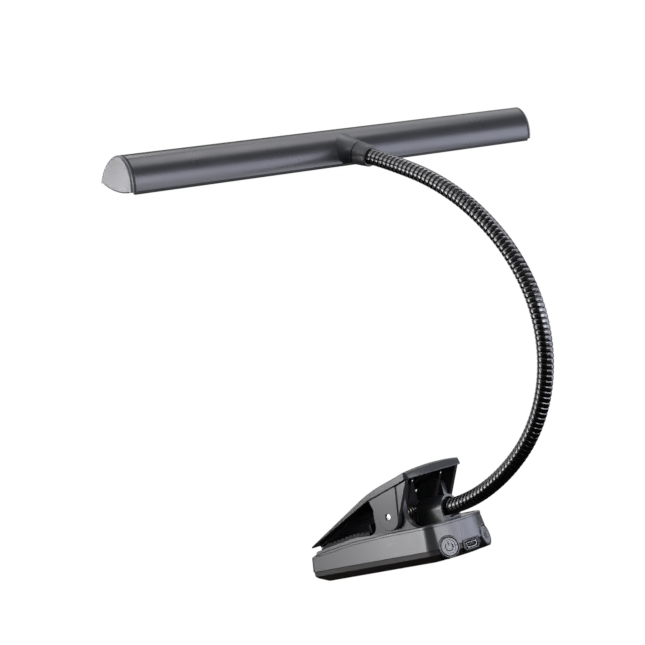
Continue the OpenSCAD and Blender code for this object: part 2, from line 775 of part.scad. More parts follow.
// End fitting of the gooseneck along +z, with a groove for its set screw
module ferrule() {
    groove_d = 0.8;
    groove_play = 0.2;
    low = ferrule_len / 2 - set_screw_d / 2 - groove_play;
    high = ferrule_len - low;
    rotate_extrude() polygon([
        [neck_bore / 2, 0], [ferrule_r, 0], [ferrule_r, low], [ferrule_r - groove_d, low],
        [ferrule_r - groove_d, high], [ferrule_r, high], [ferrule_r, ferrule_len],
        [neck_bore / 2, ferrule_len]]);
}
module neck_set_screw() {
    sink = 0.4;
    bite = 0.6;
    hex_d = 1.6;
    hex_depth = 1.5;
    low = base_h - cover_sink - cover_t + sink;
    high = neck_z - ferrule_r + bite;
    color("#3c3c3c") translate([0, neck_y - ferrule_len / 2, low]) difference() {
        cylinder(h = high - low, d = set_screw_d);
        translate([0, 0, -over]) cylinder(h = over + hex_depth, d = hex_d, $fn = 6);
    }
}

// Clip lever

module lever_side(dz, low_z) {
    top = lever_top(dz);
    polygon(concat([[tip[0], low_z]], top, [[tail[0], low_z]]));
}
// How far an edge of radius r is rounded away at the distance d from its end
function rounded_away(d, r) = d >= r ? 0 : r - sqrt(r * r - pow(r - d, 2));
LEVER_STEPS = 12;
skirt_knee = [pin_y - skirt_ahead, pin_z + skirt_over];
skirt_line = [tip - [0, tip_t], skirt_knee, tail - [0, lip_h]];
lever_stations = concat(
    [for (f = [0, 0.3, 1]) tip[0] + f * tip_corner_r],
    [for (p = knee_arc) p[0]],
    [tail[0] - tail_bow_run],
    [for (f = [1, 0.6, 0.3, 0.1, 0]) tail[0] - f * tail_corner_r]);
// A row of points across the lever at the station y, on its top or on its lower edge
function lever_row(y, top) =
    let (
        to_tail = tail[0] - y,
        narrow = rounded_away(y - tip[0], tip_corner_r) + rounded_away(to_tail, tail_corner_r),
        hw = lever_w / 2 - narrow,
        bow = tail_bow * max(0, 1 - to_tail / tail_bow_run),
        z = top ? lookup(y, lever_top(0)) - rounded_away(to_tail, tail_edge_r) : lookup(y, skirt_line))
    [for (j = [0:LEVER_STEPS])
        let (f = 2 * j / LEVER_STEPS - 1)
        [f * hw, y - bow * f * f, top ? z - lever_crown * f * f : z]];
module lever_outer() {
    slab([for (y = lever_stations) lever_row(y, true)], [for (y = lever_stations) lever_row(y, false)]);
}
// An ear of the lever, drawn as (y, z)
module ear_outline() {
    intersection() {
        union() {
            translate([pin_y, pin_z]) circle(ear_r);
            polygon([
                [pin_y - ear_ahead, tail[1]], [pin_y - ear_ahead, pin_z + ear_neck],
                [pin_y - ear_r * cos(ear_tangent), pin_z - ear_r * sin(ear_tangent)], [pin_y + ear_r, pin_z],
                [pin_y + ear_behind, pin_z + ear_shoulder], [pin_y + ear_behind, tail[1]]]);
        }
        lever_side(-lever_crown - plate_skin, base_h);
    }
}
module clip_lever() {
    rib_gap = 0.8;
    rib_x = coil_start_x - wire_d - rib_gap;
    rib_t = 1.4;
    rib_ahead = 4;
    rib_over = 12.6;
    web_step = 0.6;
    web_t = ear_t - web_step;
    web_low = 7.4;
    web_reach = 17;
    web_rise = 15.6;
    curtain_ahead = 11;
    curtain_t = 1.6;
    curtain_gap = 0.6;
    curtain_hw = cheek_inner_x - loose;
    curtain_y = pin_y - curtain_ahead;
    curtain_low = cover_at(curtain_y) + curtain_gap;
    color("#4a4c50") difference() {
        union() {
            difference() {
                lever_outer();
                across(lever_w - 2 * skirt_t) intersection() {
                    lever_side(-plate_t, 0);
                    translate([tip[0] + tip_solid, 0])
                        square([tail[0] - lip_t - tip[0] - tip_solid, 2 * tail[1]]);
                }
            }
            for (side = [-1, 1]) {
                translate([side * (ear_outer_x - ear_t / 2), 0, 0]) across(ear_t) ear_outline();
                translate([side * (ear_inner_x + web_t / 2), 0, 0]) across(web_t) intersection() {
                    lever_side(-lever_crown - plate_skin, base_h);
                    polygon([
                        [pin_y, pin_z], [pin_y + web_low, pin_z], [pin_y + web_reach, pin_z + web_rise],
                        [pin_y + web_reach, tail[1]], [pin_y, tail[1]]]);
                }
                translate([side * rib_x, 0, 0]) across(rib_t) intersection() {
                    lever_side(-plate_t / 2, base_h);
                    polygon([
                        [pin_y - rib_ahead, pin_z + rib_over], [pin_y + web_low, pin_z + rib_over + over],
                        [tail[0] - lip_t / 2, tail[1] - lip_h + over], [tail[0] - lip_t / 2, tail[1]],
                        [pin_y - rib_ahead, tail[1]]]);
                }
            }
            across(2 * curtain_hw) intersection() {
                lever_side(-lever_crown - plate_skin, base_h);
                translate([curtain_y, curtain_low]) square([curtain_t, tail[1] - curtain_low]);
            }
        }
        translate([0, pin_y, pin_z]) rotate([0, 90, 0])
            cylinder(h = lever_w + 2 * over, d = pin_d + 2 * slip, center = true);
    }
}
module upper_jaw_pad() {
    l = jaw_len - pad_from - pad_short;
    color("#1d1d1d") translate([0, tip[0], tip[1]]) rotate([jaw_angle, 0, 0])
        translate([0, pad_from, -plate_square_t - upper_pad_t]) difference() {
            translate([-pad_w / 2, 0, 0]) cube([pad_w, l, upper_pad_t]);
            for (y = [grip_pitch:grip_pitch:l - grip_pitch / 2]) grip_groove(y, 0);
        }
}

// Buttons

// A button along +z with its face at the ring's edge
module button_body() {
    dish = 0.3;
    dish_rim = 1.2;
    edge = 0.3;
    translate([0, 0, ring_proud - button_t]) difference() {
        union() {
            cylinder(h = button_t - edge, d = button_d);
            translate([0, 0, button_t - edge]) cylinder(h = edge, d1 = button_d, d2 = button_d - 2 * edge);
        }
        translate([0, 0, button_t - dish]) cylinder(h = dish + over, d = button_d - 2 * dish_rim);
    }
    translate([0, 0, ring_proud - button_t - stem_len]) cylinder(h = stem_len + edge, d = stem_d);
}
module power_button() {
    color("#8b8d92") at_button(1) button_body();
}
module brightness_button() {
    color("#8b8d92") at_button(-1) button_body();
}

// Gooseneck

module neck_section(i) {
    first = flex_gap / 2;
    // The first section starts square on its fitting and the last one ends on its own
    s0 = i == 0 ? 0 : first;
    s1 = i == SECTIONS - 1 ? section_len : section_len - first;
    crest = neck_d / 2;
    step = (s1 - s0) / (2 * ribs_per_section);
    outer_rings = 2 * ribs_per_section + 1;
    inner_rings = 6;
    outer = [
        for (k = [0:outer_rings - 1])
            let (
                end = k == 0 || k == outer_rings - 1,
                r = end ? end_r : k % 2 == 1 ? crest : crest - rib_depth)
            each neck_ring(i, s0 + k * step, r)];
    inner = [
        for (k = [0:inner_rings - 1]) each neck_ring(i, s0 + (s1 - s0) * k / (inner_rings - 1), neck_bore / 2)];
    n = rib_sides;
    base = outer_rings * n;
    far_out = base - n;
    far_in = base + (inner_rings - 1) * n;
    ends = [
        for (j = [0:n - 1])
            let (m = (j + 1) % n)
            each [
                [m, j, base + j], [m, base + j, base + m],
                [far_out + j, far_out + m, far_in + m], [far_out + j, far_in + m, far_in + j]]];
    color("#26262a") polyhedron(
        concat(outer, inner),
        concat(strip_faces(outer_rings, n, 0, false), strip_faces(inner_rings, n, base, true), ends));
}
// Centre line of the cable from s0 to s1 along section i
function cable_path(i, s0, s1) = [
    for (k = [0:6])
        let (p = along(i, s0 + (s1 - s0) * k / 6))
        [0, p[0], p[1]]];
module neck_cable(i) {
    gap = flex_gap / 2;
    low = concat(
        [[0, cable_drop_y, floor_t + board_t + loose]],
        [for (t = [0:30:90]) [
            0, cable_drop_y + cable_bend_r * (1 - cos(t)), neck_z - cable_bend_r * (1 - sin(t))]]);
    path = concat(
        i == 0 ? low : [],
        cable_path(i, i == 0 ? 0 : gap, i == SECTIONS - 1 ? section_len : section_len - gap));
    color("#303030") {
        tube(path, cable_d / 2, 8, [1, 0, 0]);
        if (i == SECTIONS - 1) in_head() translate([0, seat_y, collar_z]) rotate([90, 0, 0])
            cylinder(h = seat_y - bar_w / 2 + bar_wall, d = cable_d);
    }
}

// Light bar

// Places children drawn in the bar's own frame on the end of the gooseneck
module in_head() {
    end = section_start(SECTIONS);
    translate([0, end[0], end[1]]) rotate([head_angle, 0, 0]) translate([0, -seat_y, -collar_z]) children();
}
module arch_profile(inset) {
    polygon([for (i = [0:ARCH_STEPS]) arch_point(180 * i / ARCH_STEPS, bar_w / 2 - inset, bar_h - inset)]);
}
// The bulge of the lens under the flat side, set in by inset, drawn as (y, z)
module lens_profile(inset) {
    hw = bar_w / 2 - lens_side;
    r = (hw * hw + lens_bulge * lens_bulge) / (2 * lens_bulge);
    intersection() {
        translate([0, r - lens_bulge]) circle(r - inset, $fn = 200);
        translate([-hw, -lens_bulge - over]) square([2 * hw, lens_bulge + over]);
    }
}
module bar_housing() {
    color("#4b4c4e") in_head() difference() {
        union() {
            difference() {
                union() {
                    across(housing_len) arch_profile(0);
                    translate([0, 0, collar_z]) rotate([-90, 0, 0])
                        cylinder(h = neck_end_y, r1 = neck_root_r, r2 = neck_end_r);
                    translate([0, 0, collar_z]) rotate([-90, 0, 0])
                        cylinder(h = collar_y + spigot_len, r = spigot_r);
                }
                across(housing_len + 2 * over) {
                    arch_profile(bar_wall);
                    translate([bar_wall - bar_w / 2, -over]) square([bar_w - 2 * bar_wall, over + lap]);
                }
            }
            for (side = [-1, 1])
                across(led_board_len) intersection() {
                    arch_profile(bar_wall / 2);
                    translate([side * (led_board_w / 2 + rail_out) - rail_w / 2, rail_z])
                        square([rail_w, rail_h]);
                }
        }
        translate([0, bar_w / 2 - 2 * bar_wall, collar_z]) rotate([-90, 0, 0])
            cylinder(h = collar_mouth_y, r = ferrule_r + slip);
    }
}
module head_collar() {
    color("#3d3e41") in_head() translate([0, collar_y, collar_z]) rotate([-90, 0, 0]) difference() {
        cylinder(h = collar_len, r1 = neck_end_r, r2 = collar_d / 2);
        translate([0, 0, -over]) cylinder(h = spigot_len + loose + over, r = spigot_r + slip);
        translate([0, 0, -over]) cylinder(h = collar_len + 2 * over, r = ferrule_r + slip);
        translate([0, 0, seat_y - collar_y]) cylinder(h = collar_len, r = neck_d / 2 + loose);
    }
}
module neck_ferrule_upper() {
    color("#9a9a98") in_head() translate([0, seat_y, collar_z]) rotate([90, 0, 0]) ferrule();
}
module bar_lens() {
    rim_h = 1.5;
    rim_sink = lens_bulge / 4;
    rim_hw = bar_w / 2 - bar_wall - loose;
    color("#f4f4ee") in_head() across(housing_len) {
        difference() {
            lens_profile(0);
            lens_profile(lens_t);
        }
        for (side = [-1, 1])
            translate([side * (rim_hw - lens_t / 2) - lens_t / 2, -rim_sink])
                square([lens_t, rim_h + rim_sink]);
    }
}
module led_board() {
    color("#dcdcd6") in_head() translate([-led_board_len / 2, -led_board_w / 2, rail_z + rail_h])
        cube([led_board_len, led_board_w, led_board_t]);
}
module led_chips() {
    pitch = led_board_len / chip_count;
    color("#ecd98a") in_head()
        for (i = [0:chip_count - 1])
            translate([(i + 0.5) * pitch - led_board_len / 2, 0, rail_z + rail_h - chip[2] / 2])
                cube(chip, center = true);
}
// End cap on the side given, with a plug that enters the housing
module end_cap(side) {
    plug_low = 2.2;
    color("#55565a") in_head() translate([side * (bar_len - cap_t) / 2, 0, 0]) {
        across(cap_t) {
            arch_profile(0);
            lens_profile(0);
        }
        translate([-side * (cap_t + plug_len) / 2, 0, 0]) across(plug_len) intersection() {
            arch_profile(bar_wall + fit);
            translate([-bar_w, plug_low]) square([2 * bar_w, bar_h]);
        }
    }
}
module end_cap_left() {
    end_cap(1);
}
module end_cap_right() {
    end_cap(-1);
}

base_shell();
base_bottom_cover();
base_top_cover();
lower_jaw_pad();
pivot_pin();
clip_spring();
battery_cell();
main_board();
usb_socket();
tactile_switches();
base_screws();
neck_ferrule_lower();
neck_set_screw();
clip_lever();
upper_jaw_pad();
power_button();
brightness_button();
neck_ferrule_upper();
head_collar();
bar_housing();
bar_lens();
led_board();
led_chips();
end_cap_left();
end_cap_right();
for (i = [0:SECTIONS - 1]) {
    neck_section(i);
    neck_cable(i);
}
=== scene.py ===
# %% [markdown]
# # A clip-on music stand lamp
# The lamp is a long bar of light on a gooseneck, which rises from a battery base with a sprung clip.
# Its solids come in as a fixed frame, so this lesson only dresses them: it rounds the moulded edges,
# winds the gooseneck and the spring in full, and gives every surface the finish of its real material.

# %% Load the frame
import json
import math

import bmesh
import bpy
import numpy as np
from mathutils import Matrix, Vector


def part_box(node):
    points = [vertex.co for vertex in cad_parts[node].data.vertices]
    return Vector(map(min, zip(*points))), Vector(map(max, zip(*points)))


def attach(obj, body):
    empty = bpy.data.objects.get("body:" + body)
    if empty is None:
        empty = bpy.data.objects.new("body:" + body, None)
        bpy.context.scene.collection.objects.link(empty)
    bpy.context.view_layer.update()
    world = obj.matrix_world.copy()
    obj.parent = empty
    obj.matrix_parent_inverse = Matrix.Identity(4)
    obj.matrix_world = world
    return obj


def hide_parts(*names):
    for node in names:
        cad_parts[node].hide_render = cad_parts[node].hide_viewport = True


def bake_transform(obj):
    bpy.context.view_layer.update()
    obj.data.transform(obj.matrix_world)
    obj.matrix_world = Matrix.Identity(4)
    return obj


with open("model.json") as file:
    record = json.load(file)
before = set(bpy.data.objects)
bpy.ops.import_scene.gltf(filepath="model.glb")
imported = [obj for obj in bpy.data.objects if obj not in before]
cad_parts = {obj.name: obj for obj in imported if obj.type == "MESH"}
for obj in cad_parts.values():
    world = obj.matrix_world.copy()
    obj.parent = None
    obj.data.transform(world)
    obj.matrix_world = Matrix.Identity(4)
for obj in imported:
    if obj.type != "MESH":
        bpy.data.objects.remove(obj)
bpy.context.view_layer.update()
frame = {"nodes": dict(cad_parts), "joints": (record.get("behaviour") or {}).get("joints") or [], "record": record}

MM = 0.001
scene = bpy.context.scene

# %% [markdown]
# ## Camera
# The photograph looks at the button end from just above the table, through a long lens, with the
# picture rolled by some 14 degrees. A Track To constraint could aim the camera but would lose that
# roll, so the place and the three angles are given outright, as a survey of the picture gave them.

# %% Camera
CAMERA_MM = (816.4, 789.9, 83.2)
CAMERA_DEG = (92.348, 14.100, 135.216)      # tilt, roll and heading
LENS_MM = 125.36
SENSOR_MM = 36.0

lens = bpy.data.cameras.new("long_lens")
lens.lens = LENS_MM
lens.sensor_width = SENSOR_MM
camera = bpy.data.objects.new("camera", lens)
camera.location = Vector(CAMERA_MM) * MM
camera.rotation_euler = [math.radians(a) for a in CAMERA_DEG]
scene.collection.objects.link(camera)
scene.camera = camera
print("camera stands", round(camera.location.length, 3), "m from the base")

# %% [markdown]
# ## Shader nodes and colours
# A material is a small graph. One helper adds a node, sets its own options, and fills its sockets with
# constants or links. Colours are written as the sRGB hex that a paint program shows, and turned into
# the linear light that shaders work in.

# %% Node helper and colours
def add_node(tree, kind, inputs=None, **settings):
    """Adds a node; inputs maps sockets, by name or number, to constants or to another node's output."""
    made = tree.nodes.new(kind)
    for name, value in settings.items():
        setattr(made, name, value)
    for name, value in (inputs or {}).items():
        if isinstance(value, bpy.types.NodeSocket):
            tree.links.new(value, made.inputs[name])
        else:
            made.inputs[name].default_value = value
    return made


def to_linear(hex_colour):
    """sRGB hex as linear RGBA."""
    parts = [int(hex_colour[i:i + 2], 16) / 255 for i in (1, 3, 5)]
    return [c / 12.92 if c <= 0.04045 else ((c + 0.055) / 1.055) ** 2.4 for c in parts] + [1.0]


def empty_tree(owner):
    """The cleared node tree of a material or a world."""
    owner.use_nodes = True
    owner.node_tree.nodes.clear()
    return owner.node_tree


def per_metre(size_mm):
    """Scale of a pattern whose features are this many millimetres apart."""
    return 1 / (size_mm * MM)


print("white is", [round(c, 3) for c in to_linear("#ffffff")])

# %% [markdown]
# ## Studio
# The photograph is a cut-out on pure white. A white floor and a white sky stand for the paper, and the
# camera sees them at full white, but for a faint painted shade round the base, where the floor's glow is
# turned a little down. What the lamp mirrors is darker: a grey sky, and a floor with the tone of a brown
# table top. A real studio is dark beyond its lamps too, and that is what gives the plastics and the plated
# neck their dark bands. A Light Path node tells the two kinds of ray apart.

# %% Sky
PAPER = "#ffffff"
SKY_FILL = "#5c5d60"

sky = bpy.data.worlds.new("white_studio")
scene.world = sky
tree = empty_tree(sky)
ray = add_node(tree, "ShaderNodeLightPath")
seen = add_node(tree, "ShaderNodeBackground", {"Color": to_linear(PAPER)})
fill = add_node(tree, "ShaderNodeBackground", {"Color": to_linear(SKY_FILL)})
sky_mix = add_node(tree, "ShaderNodeMixShader", {
    0: ray.outputs["Is Camera Ray"], 1: fill.outputs[0], 2: seen.outputs[0]})
add_node(tree, "ShaderNodeOutputWorld", {"Surface": sky_mix.outputs[0]})
print("the camera sees a sky of", PAPER, "and the lamp mirrors", SKY_FILL)

# %% Floor
FLOOR_SIZE = 12.0                 # metres
# Near the base the glow is a little lower: a faint painted shade on the paper round the base.
PAPER_GLOW_AND_SHADE = (0.99, 1.0)          # close to the base and far from it
PAPER_SHADE_FADE_MM = (90.0, 320.0)     # distances from the base between which the glow changes
TABLE_DARK, TABLE_LIGHT = "#1f1a18", "#2b2522"
TABLE_GRAIN_MM = 8.0

paper = bpy.data.materials.new("paper_sweep_matt_white")
tree = empty_tree(paper)
ray = add_node(tree, "ShaderNodeLightPath")
place = add_node(tree, "ShaderNodeTexCoord")
off_base = add_node(tree, "ShaderNodeVectorMath", {0: place.outputs["Object"]}, operation="LENGTH")
# Painted shade: the glow dims towards the base.
level = add_node(tree, "ShaderNodeMapRange", {
    "Value": off_base.outputs["Value"],
    "From Min": PAPER_SHADE_FADE_MM[0] * MM, "From Max": PAPER_SHADE_FADE_MM[1] * MM,
    "To Min": PAPER_GLOW_AND_SHADE[0], "To Max": PAPER_GLOW_AND_SHADE[1]}, interpolation_type="SMOOTHSTEP")
glow = add_node(tree, "ShaderNodeEmission", {"Color": to_linear(PAPER), "Strength": level.outputs[0]})
fibre = add_node(tree, "ShaderNodeTexNoise", {
    "Vector": place.outputs["Object"], "Scale": per_metre(TABLE_GRAIN_MM), "Detail": 3.0})
tint = add_node(tree, "ShaderNodeMix", {
    0: fibre.outputs["Fac"], 6: to_linear(TABLE_DARK), 7: to_linear(TABLE_LIGHT)}, data_type="RGBA")
catch = add_node(tree, "ShaderNodeBsdfDiffuse", {"Color": tint.outputs[2]})
lit = add_node(tree, "ShaderNodeAddShader", {0: glow.outputs[0], 1: catch.outputs[0]})
floor_mix = add_node(tree, "ShaderNodeMixShader", {
    0: ray.outputs["Is Camera Ray"], 1: catch.outputs[0], 2: lit.outputs[0]})
add_node(tree, "ShaderNodeOutputMaterial", {"Surface": floor_mix.outputs[0]})

half = FLOOR_SIZE / 2
floor_mesh = bpy.data.meshes.new("paper_floor")
floor_corners = [(-half, -half, 0), (half, -half, 0), (half, half, 0), (-half, half, 0)]
floor_mesh.from_pydata(floor_corners, [], [(0, 1, 2, 3)])
floor_mesh.materials.append(paper)
floor = bpy.data.objects.new("paper_floor", floor_mesh)
scene.collection.objects.link(floor)
scene.view_settings.view_transform = "Standard"
print("floor is", FLOOR_SIZE, "m wide")

# %% [markdown]
# ## Lights
# Satin plastic is a dull mirror, so the highlights in the photograph tell where the lamps stood. The flat
# side of the base and the end cap mirror a tall soft box at the left, the lower half of the bar mirrors
# low lavender-tinted boxes at the right, and the bar's upper edge mirrors boxes hung overhead. Nothing
# bright stands near the camera, which is why rounded edges that face it stay dark. Each box is an area
# light, placed by its angle from the camera, its distance from the lamp and its height.

# %% Lights
AXIS_Y = 0.04                     # the boxes stand round this place of the base, in metres
SOFT_BOXES = (
    # name, degrees to the right of the camera, metres away, height of its middle, degrees it looks up,
    # width, height, brightness, colour
    ("left_key", -82, 0.70, 0.165, 0, 0.13, 0.33, 14.8, "#fcfcff"),
    ("left_wing", -70, 0.70, 0.165, 0, 0.18, 0.33, 3.0, "#fffdf7"),
    ("left_upper", -78, 0.70, 0.44, -20, 0.52, 0.22, 2.6, "#fffdfc"),
    ("left_roof", -62, 0.70, 0.76, -43, 0.52, 0.40, 4.5, "#ffffff"),
    ("right_strip", 42, 0.70, 0.11, 0, 0.37, 0.22, 10.5, "#f8f9ff"),
    ("right_low_near", 67, 0.69, 0.11, 0, 0.34, 0.22, 5.4, "#edf0ff"),
    ("right_low_far", 98, 0.70, 0.11, 0, 0.56, 0.22, 4.9, "#e6e9ff"),
    ("right_board", 90, 0.41, 0.004, 90, 0.30, 0.40, 4.0, "#f1f3ff"),
    ("right_roof", 98, 0.70, 0.78, -43, 0.40, 0.40, 4.0, "#f9f8ff"),
    ("back_upper", 136, 0.70, 0.76, -43, 0.44, 0.44, 1.9, "#fcfcff"),
    ("back_roof", 140, 0.35, 1.00, -69, 0.34, 0.34, 6.0, "#fcfcff"),
    ("roof", -60, 0.20, 1.05, -78, 0.50, 0.50, 2.4, "#fcfcff"),
    ("back_left", -142, 0.95, 0.35, -14, 0.70, 0.60, 1.0, "#ffffff"),
    ("back", 180, 0.95, 0.35, -14, 0.55, 0.60, 0.8, "#ffffff"),
    ("back_right", 152, 0.95, 0.30, -12, 0.40, 0.50, 1.0, "#f4f4ff"),
)
facing = camera.location - Vector((0.0, AXIS_Y, 0.0))
camera_heading = math.atan2(facing.y, facing.x)
for name, right, away, height, tilt, wide, tall, brightness, colour in SOFT_BOXES:
    soft_box = bpy.data.lights.new(name, "AREA")
    soft_box.shape = "RECTANGLE"
    soft_box.size = wide
    soft_box.size_y = tall
    soft_box.energy = math.pi * wide * tall * brightness
    soft_box.color = to_linear(colour)[:3]
    lamp = bpy.data.objects.new(name, soft_box)
    turn = camera_heading + math.radians(right)
    out = Vector((math.cos(turn), math.sin(turn), 0.0))
    look = math.radians(tilt)
    lamp.location = out * away + Vector((0.0, AXIS_Y, height))
    lamp.rotation_mode = "QUATERNION"
    aim = Vector((0.0, 0.0, math.sin(look))) - out * math.cos(look)
    lamp.rotation_quaternion = aim.to_track_quat("-Z", "Y")
    lamp.visible_camera = False
    scene.collection.objects.link(lamp)
print(len(SOFT_BOXES), "soft boxes")

# %% [markdown]
# ## Moulded plastics
# Most of the lamp is ABS. The shell of the base is ABS blended with polycarbonate, which is tougher and
# bends light a little more. Their moulds were spark-eroded, which leaves a fine even grain that turns
# the gloss into a satin sheen. A noise bump gives the grain and mottles the colour with it, and a slower
# noise varies the gloss the way a real moulding does where it cooled unevenly. One function makes the
# family, because the mouldings differ only in colour, grain and gloss.

# %% Plastics
FLOW_MM = 18.0                    # distance between the glossier and the duller places
NOISE_SPAN = (0.3, 0.7)           # where most values of a noise lie
ABS_IOR, PC_ABS_IOR, RUBBER_IOR = 1.53, 1.59, 1.52
finish = {}


def moulded(slot, name, dark, light, grain_mm, depth_mm, rough, ior=ABS_IOR):
    """A moulded plastic: grain, gloss that drifts between the two values of rough, and a slight mottle."""
    material = bpy.data.materials.new(name)
    tree = empty_tree(material)
    place = add_node(tree, "ShaderNodeTexCoord")
    grain = add_node(tree, "ShaderNodeTexNoise", {
        "Vector": place.outputs["Object"], "Scale": per_metre(grain_mm), "Detail": 2.0, "Roughness": 0.6})
    flow = add_node(tree, "ShaderNodeTexNoise", {
        "Vector": place.outputs["Object"], "Scale": per_metre(FLOW_MM), "Detail": 3.0})
    sheen = add_node(tree, "ShaderNodeMapRange", {
        "Value": flow.outputs["Fac"], "From Min": NOISE_SPAN[0], "From Max": NOISE_SPAN[1],
        "To Min": rough[0], "To Max": rough[1]})
    mottle = add_node(tree, "ShaderNodeMix", {
        0: grain.outputs["Fac"], 6: to_linear(dark), 7: to_linear(light)}, data_type="RGBA")
    bump = add_node(tree, "ShaderNodeBump", {
        "Height": grain.outputs["Fac"], "Strength": 0.35, "Distance": depth_mm * MM})
    skin = add_node(tree, "ShaderNodeBsdfPrincipled", {
        "Base Color": mottle.outputs[2], "Roughness": sheen.outputs[0], "IOR": ior,
        "Normal": bump.outputs[0]})
    add_node(tree, "ShaderNodeOutputMaterial", {"Surface": skin.outputs[0]})
    finish[slot] = material


# The grain of a spark-eroded mould is about 0.05 mm; it is drawn at 0.3 to 0.6 mm so that it shows.
# Satin: the shell's flat sides carry broad, soft-edged highlights.
moulded("shell_plastic", "PC_ABS_moulded_spark_texture_graphite", "#292a2c", "#313234",
        grain_mm=0.4, depth_mm=0.012, rough=(0.27, 0.33), ior=PC_ABS_IOR)
# Matt and warmer: the cover below the parting line stays darker than the shell.
moulded("bottom_plastic", "ABS_moulded_matt_black_brown", "#1d1a19", "#262221",
        grain_mm=0.5, depth_mm=0.06, rough=(0.42, 0.55))
# Pale and fine: the buttons stand out from the shell.
moulded("button_plastic", "ABS_moulded_fine_texture_grey", "#6a6b6f", "#77787c",
        grain_mm=0.3, depth_mm=0.01, rough=(0.3, 0.38))
# Lacquered: smooth enough for the bar to mirror the soft boxes as long bands.
moulded("bar_plastic", "ABS_moulded_satin_lacquer_anthracite", "#232426", "#2a2b2d",
        grain_mm=0.35, depth_mm=0.004, rough=(0.27, 0.31))
# Coarse: the cap's face is one even grey.
moulded("cap_plastic", "ABS_moulded_coarse_texture_grey", "#5b5c60", "#6b6c71",
        grain_mm=0.6, depth_mm=0.04, rough=(0.32, 0.42))
# Duller than the bar, so stub and collar stay quiet between the bar's bands.
moulded("collar_plastic", "ABS_moulded_satin_dark_grey", "#2b2c2f", "#343539",
        grain_mm=0.35, depth_mm=0.03, rough=(0.44, 0.52))
# Nearly black: the tongue shows only as a bar across the bright inlet.
moulded("switch_plastic", "nylon_moulded_black", "#141416", "#1c1c1f",
        grain_mm=0.3, depth_mm=0.03, rough=(0.4, 0.5))
# Rubber hardly shines, so pads and seals read as dark lines; on the seals and gaskets this black is painted shade.
moulded("grip_rubber", "TPR_rubber_moulded_black", "#0d0d0d", "#171717",
        grain_mm=0.5, depth_mm=0.08, rough=(0.62, 0.78), ior=RUBBER_IOR)
# Matt, with a faint sheen along the cable.
moulded("cable_jacket", "PVC_extruded_matt_black", "#151515", "#1d1d1d",
        grain_mm=0.6, depth_mm=0.03, rough=(0.45, 0.55))
print(len(finish), "mouldings:", sorted(finish))

# %% [markdown]
# ## Metals
# The neck is steel wire, wound and then plated in black chrome: a true mirror, but a dark one. The pin
# is nickel plated and the fittings are zinc plated, both over the rings that a lathe leaves. The spring
# is drawn wire, and the die leaves fine lines along it.
# A metal needs only its colour and its roughness, and its IOR stays as it is. What tells one from
# another is how the roughness is broken up, so each gets its own pattern.

# %% Metals
LATHE_MARKS = (6.0, 1.0, 1.0)     # squeezed along x, so the marks run round a part that lies along x
DIE_LINES = (1.0, 5.0, 5.0)       # squeezed across x, so the marks run along it
EVEN_MARKS = (1.0, 1.0, 1.0)


def plated(slot, name, dark, light, mark_mm, rough, depth_mm=0.004, stretch=EVEN_MARKS):
    """A metal whose roughness and colour are broken up by marks of this size, squeezed by stretch."""
    material = bpy.data.materials.new(name)
    tree = empty_tree(material)
    place = add_node(tree, "ShaderNodeTexCoord")
    drawn = add_node(tree, "ShaderNodeMapping", {"Vector": place.outputs["Object"], "Scale": stretch})
    marks = add_node(tree, "ShaderNodeTexNoise", {
        "Vector": drawn.outputs[0], "Scale": per_metre(mark_mm), "Detail": 4.0, "Roughness": 0.55})
    gloss = add_node(tree, "ShaderNodeMapRange", {
        "Value": marks.outputs["Fac"], "From Min": NOISE_SPAN[0], "From Max": NOISE_SPAN[1],
        "To Min": rough[0], "To Max": rough[1]})
    tone = add_node(tree, "ShaderNodeMix", {
        0: marks.outputs["Fac"], 6: to_linear(dark), 7: to_linear(light)}, data_type="RGBA")
    bump = add_node(tree, "ShaderNodeBump", {
        "Height": marks.outputs["Fac"], "Strength": 0.3, "Distance": depth_mm * MM})
    skin = add_node(tree, "ShaderNodeBsdfPrincipled", {
        "Base Color": tone.outputs[2], "Metallic": 1.0, "Roughness": gloss.outputs[0],
        "Normal": bump.outputs[0]})
    add_node(tree, "ShaderNodeOutputMaterial", {"Surface": skin.outputs[0]})
    finish[slot] = material


# Marks of a lathe, a die or a plating bath are finer than 0.1 mm; they are drawn coarser so that they show.
# A dark mirror: each turn of the wire goes from black to a bright fleck.
plated("neck_steel", "steel_wire_black_chrome_plated", "#4a4a4b", "#59595a",
       mark_mm=1.2, rough=(0.2, 0.26), depth_mm=0.0005)
# The brightest metal: the pin's end is a light dot in the dark ear.
plated("pin_steel", "steel_turned_nickel_plated", "#d9d9d6", "#f4f4f2",
       mark_mm=0.8, rough=(0.18, 0.3), stretch=LATHE_MARKS)
# Bare and slightly brown: the coils glint in the shade under the lever.
plated("spring_steel", "spring_steel_drawn_wire", "#6b675f", "#8a857b",
       mark_mm=0.6, rough=(0.28, 0.4), depth_mm=0.005, stretch=DIE_LINES)
# Cool grey, for the fittings inside the neck's ends.
plated("fitting_steel", "steel_turned_zinc_plated", "#a2a3a6", "#bfc0c2",
       mark_mm=0.8, rough=(0.28, 0.4), stretch=LATHE_MARKS)
# Oxide takes the shine off: the screws are dark dots underneath.
plated("screw_steel", "steel_black_oxide", "#1f1f20", "#2c2c2e", mark_mm=0.6, rough=(0.35, 0.5))
# Light and clean, so the inlet's folded edge draws a thin bright line.
plated("socket_steel", "steel_stamped_tin_plated", "#b9b9b6", "#d6d6d2", mark_mm=0.9, rough=(0.22, 0.34))
# Whitish and dull, to send the chips' light back to the lens.
plated("strip_aluminium", "aluminium_strip_white_solder_mask", "#cfcfca", "#e4e4df",
       mark_mm=2.0, rough=(0.45, 0.55))
print("metals are", [m.name for m in finish.values() if "steel" in m.name or "aluminium" in m.name])
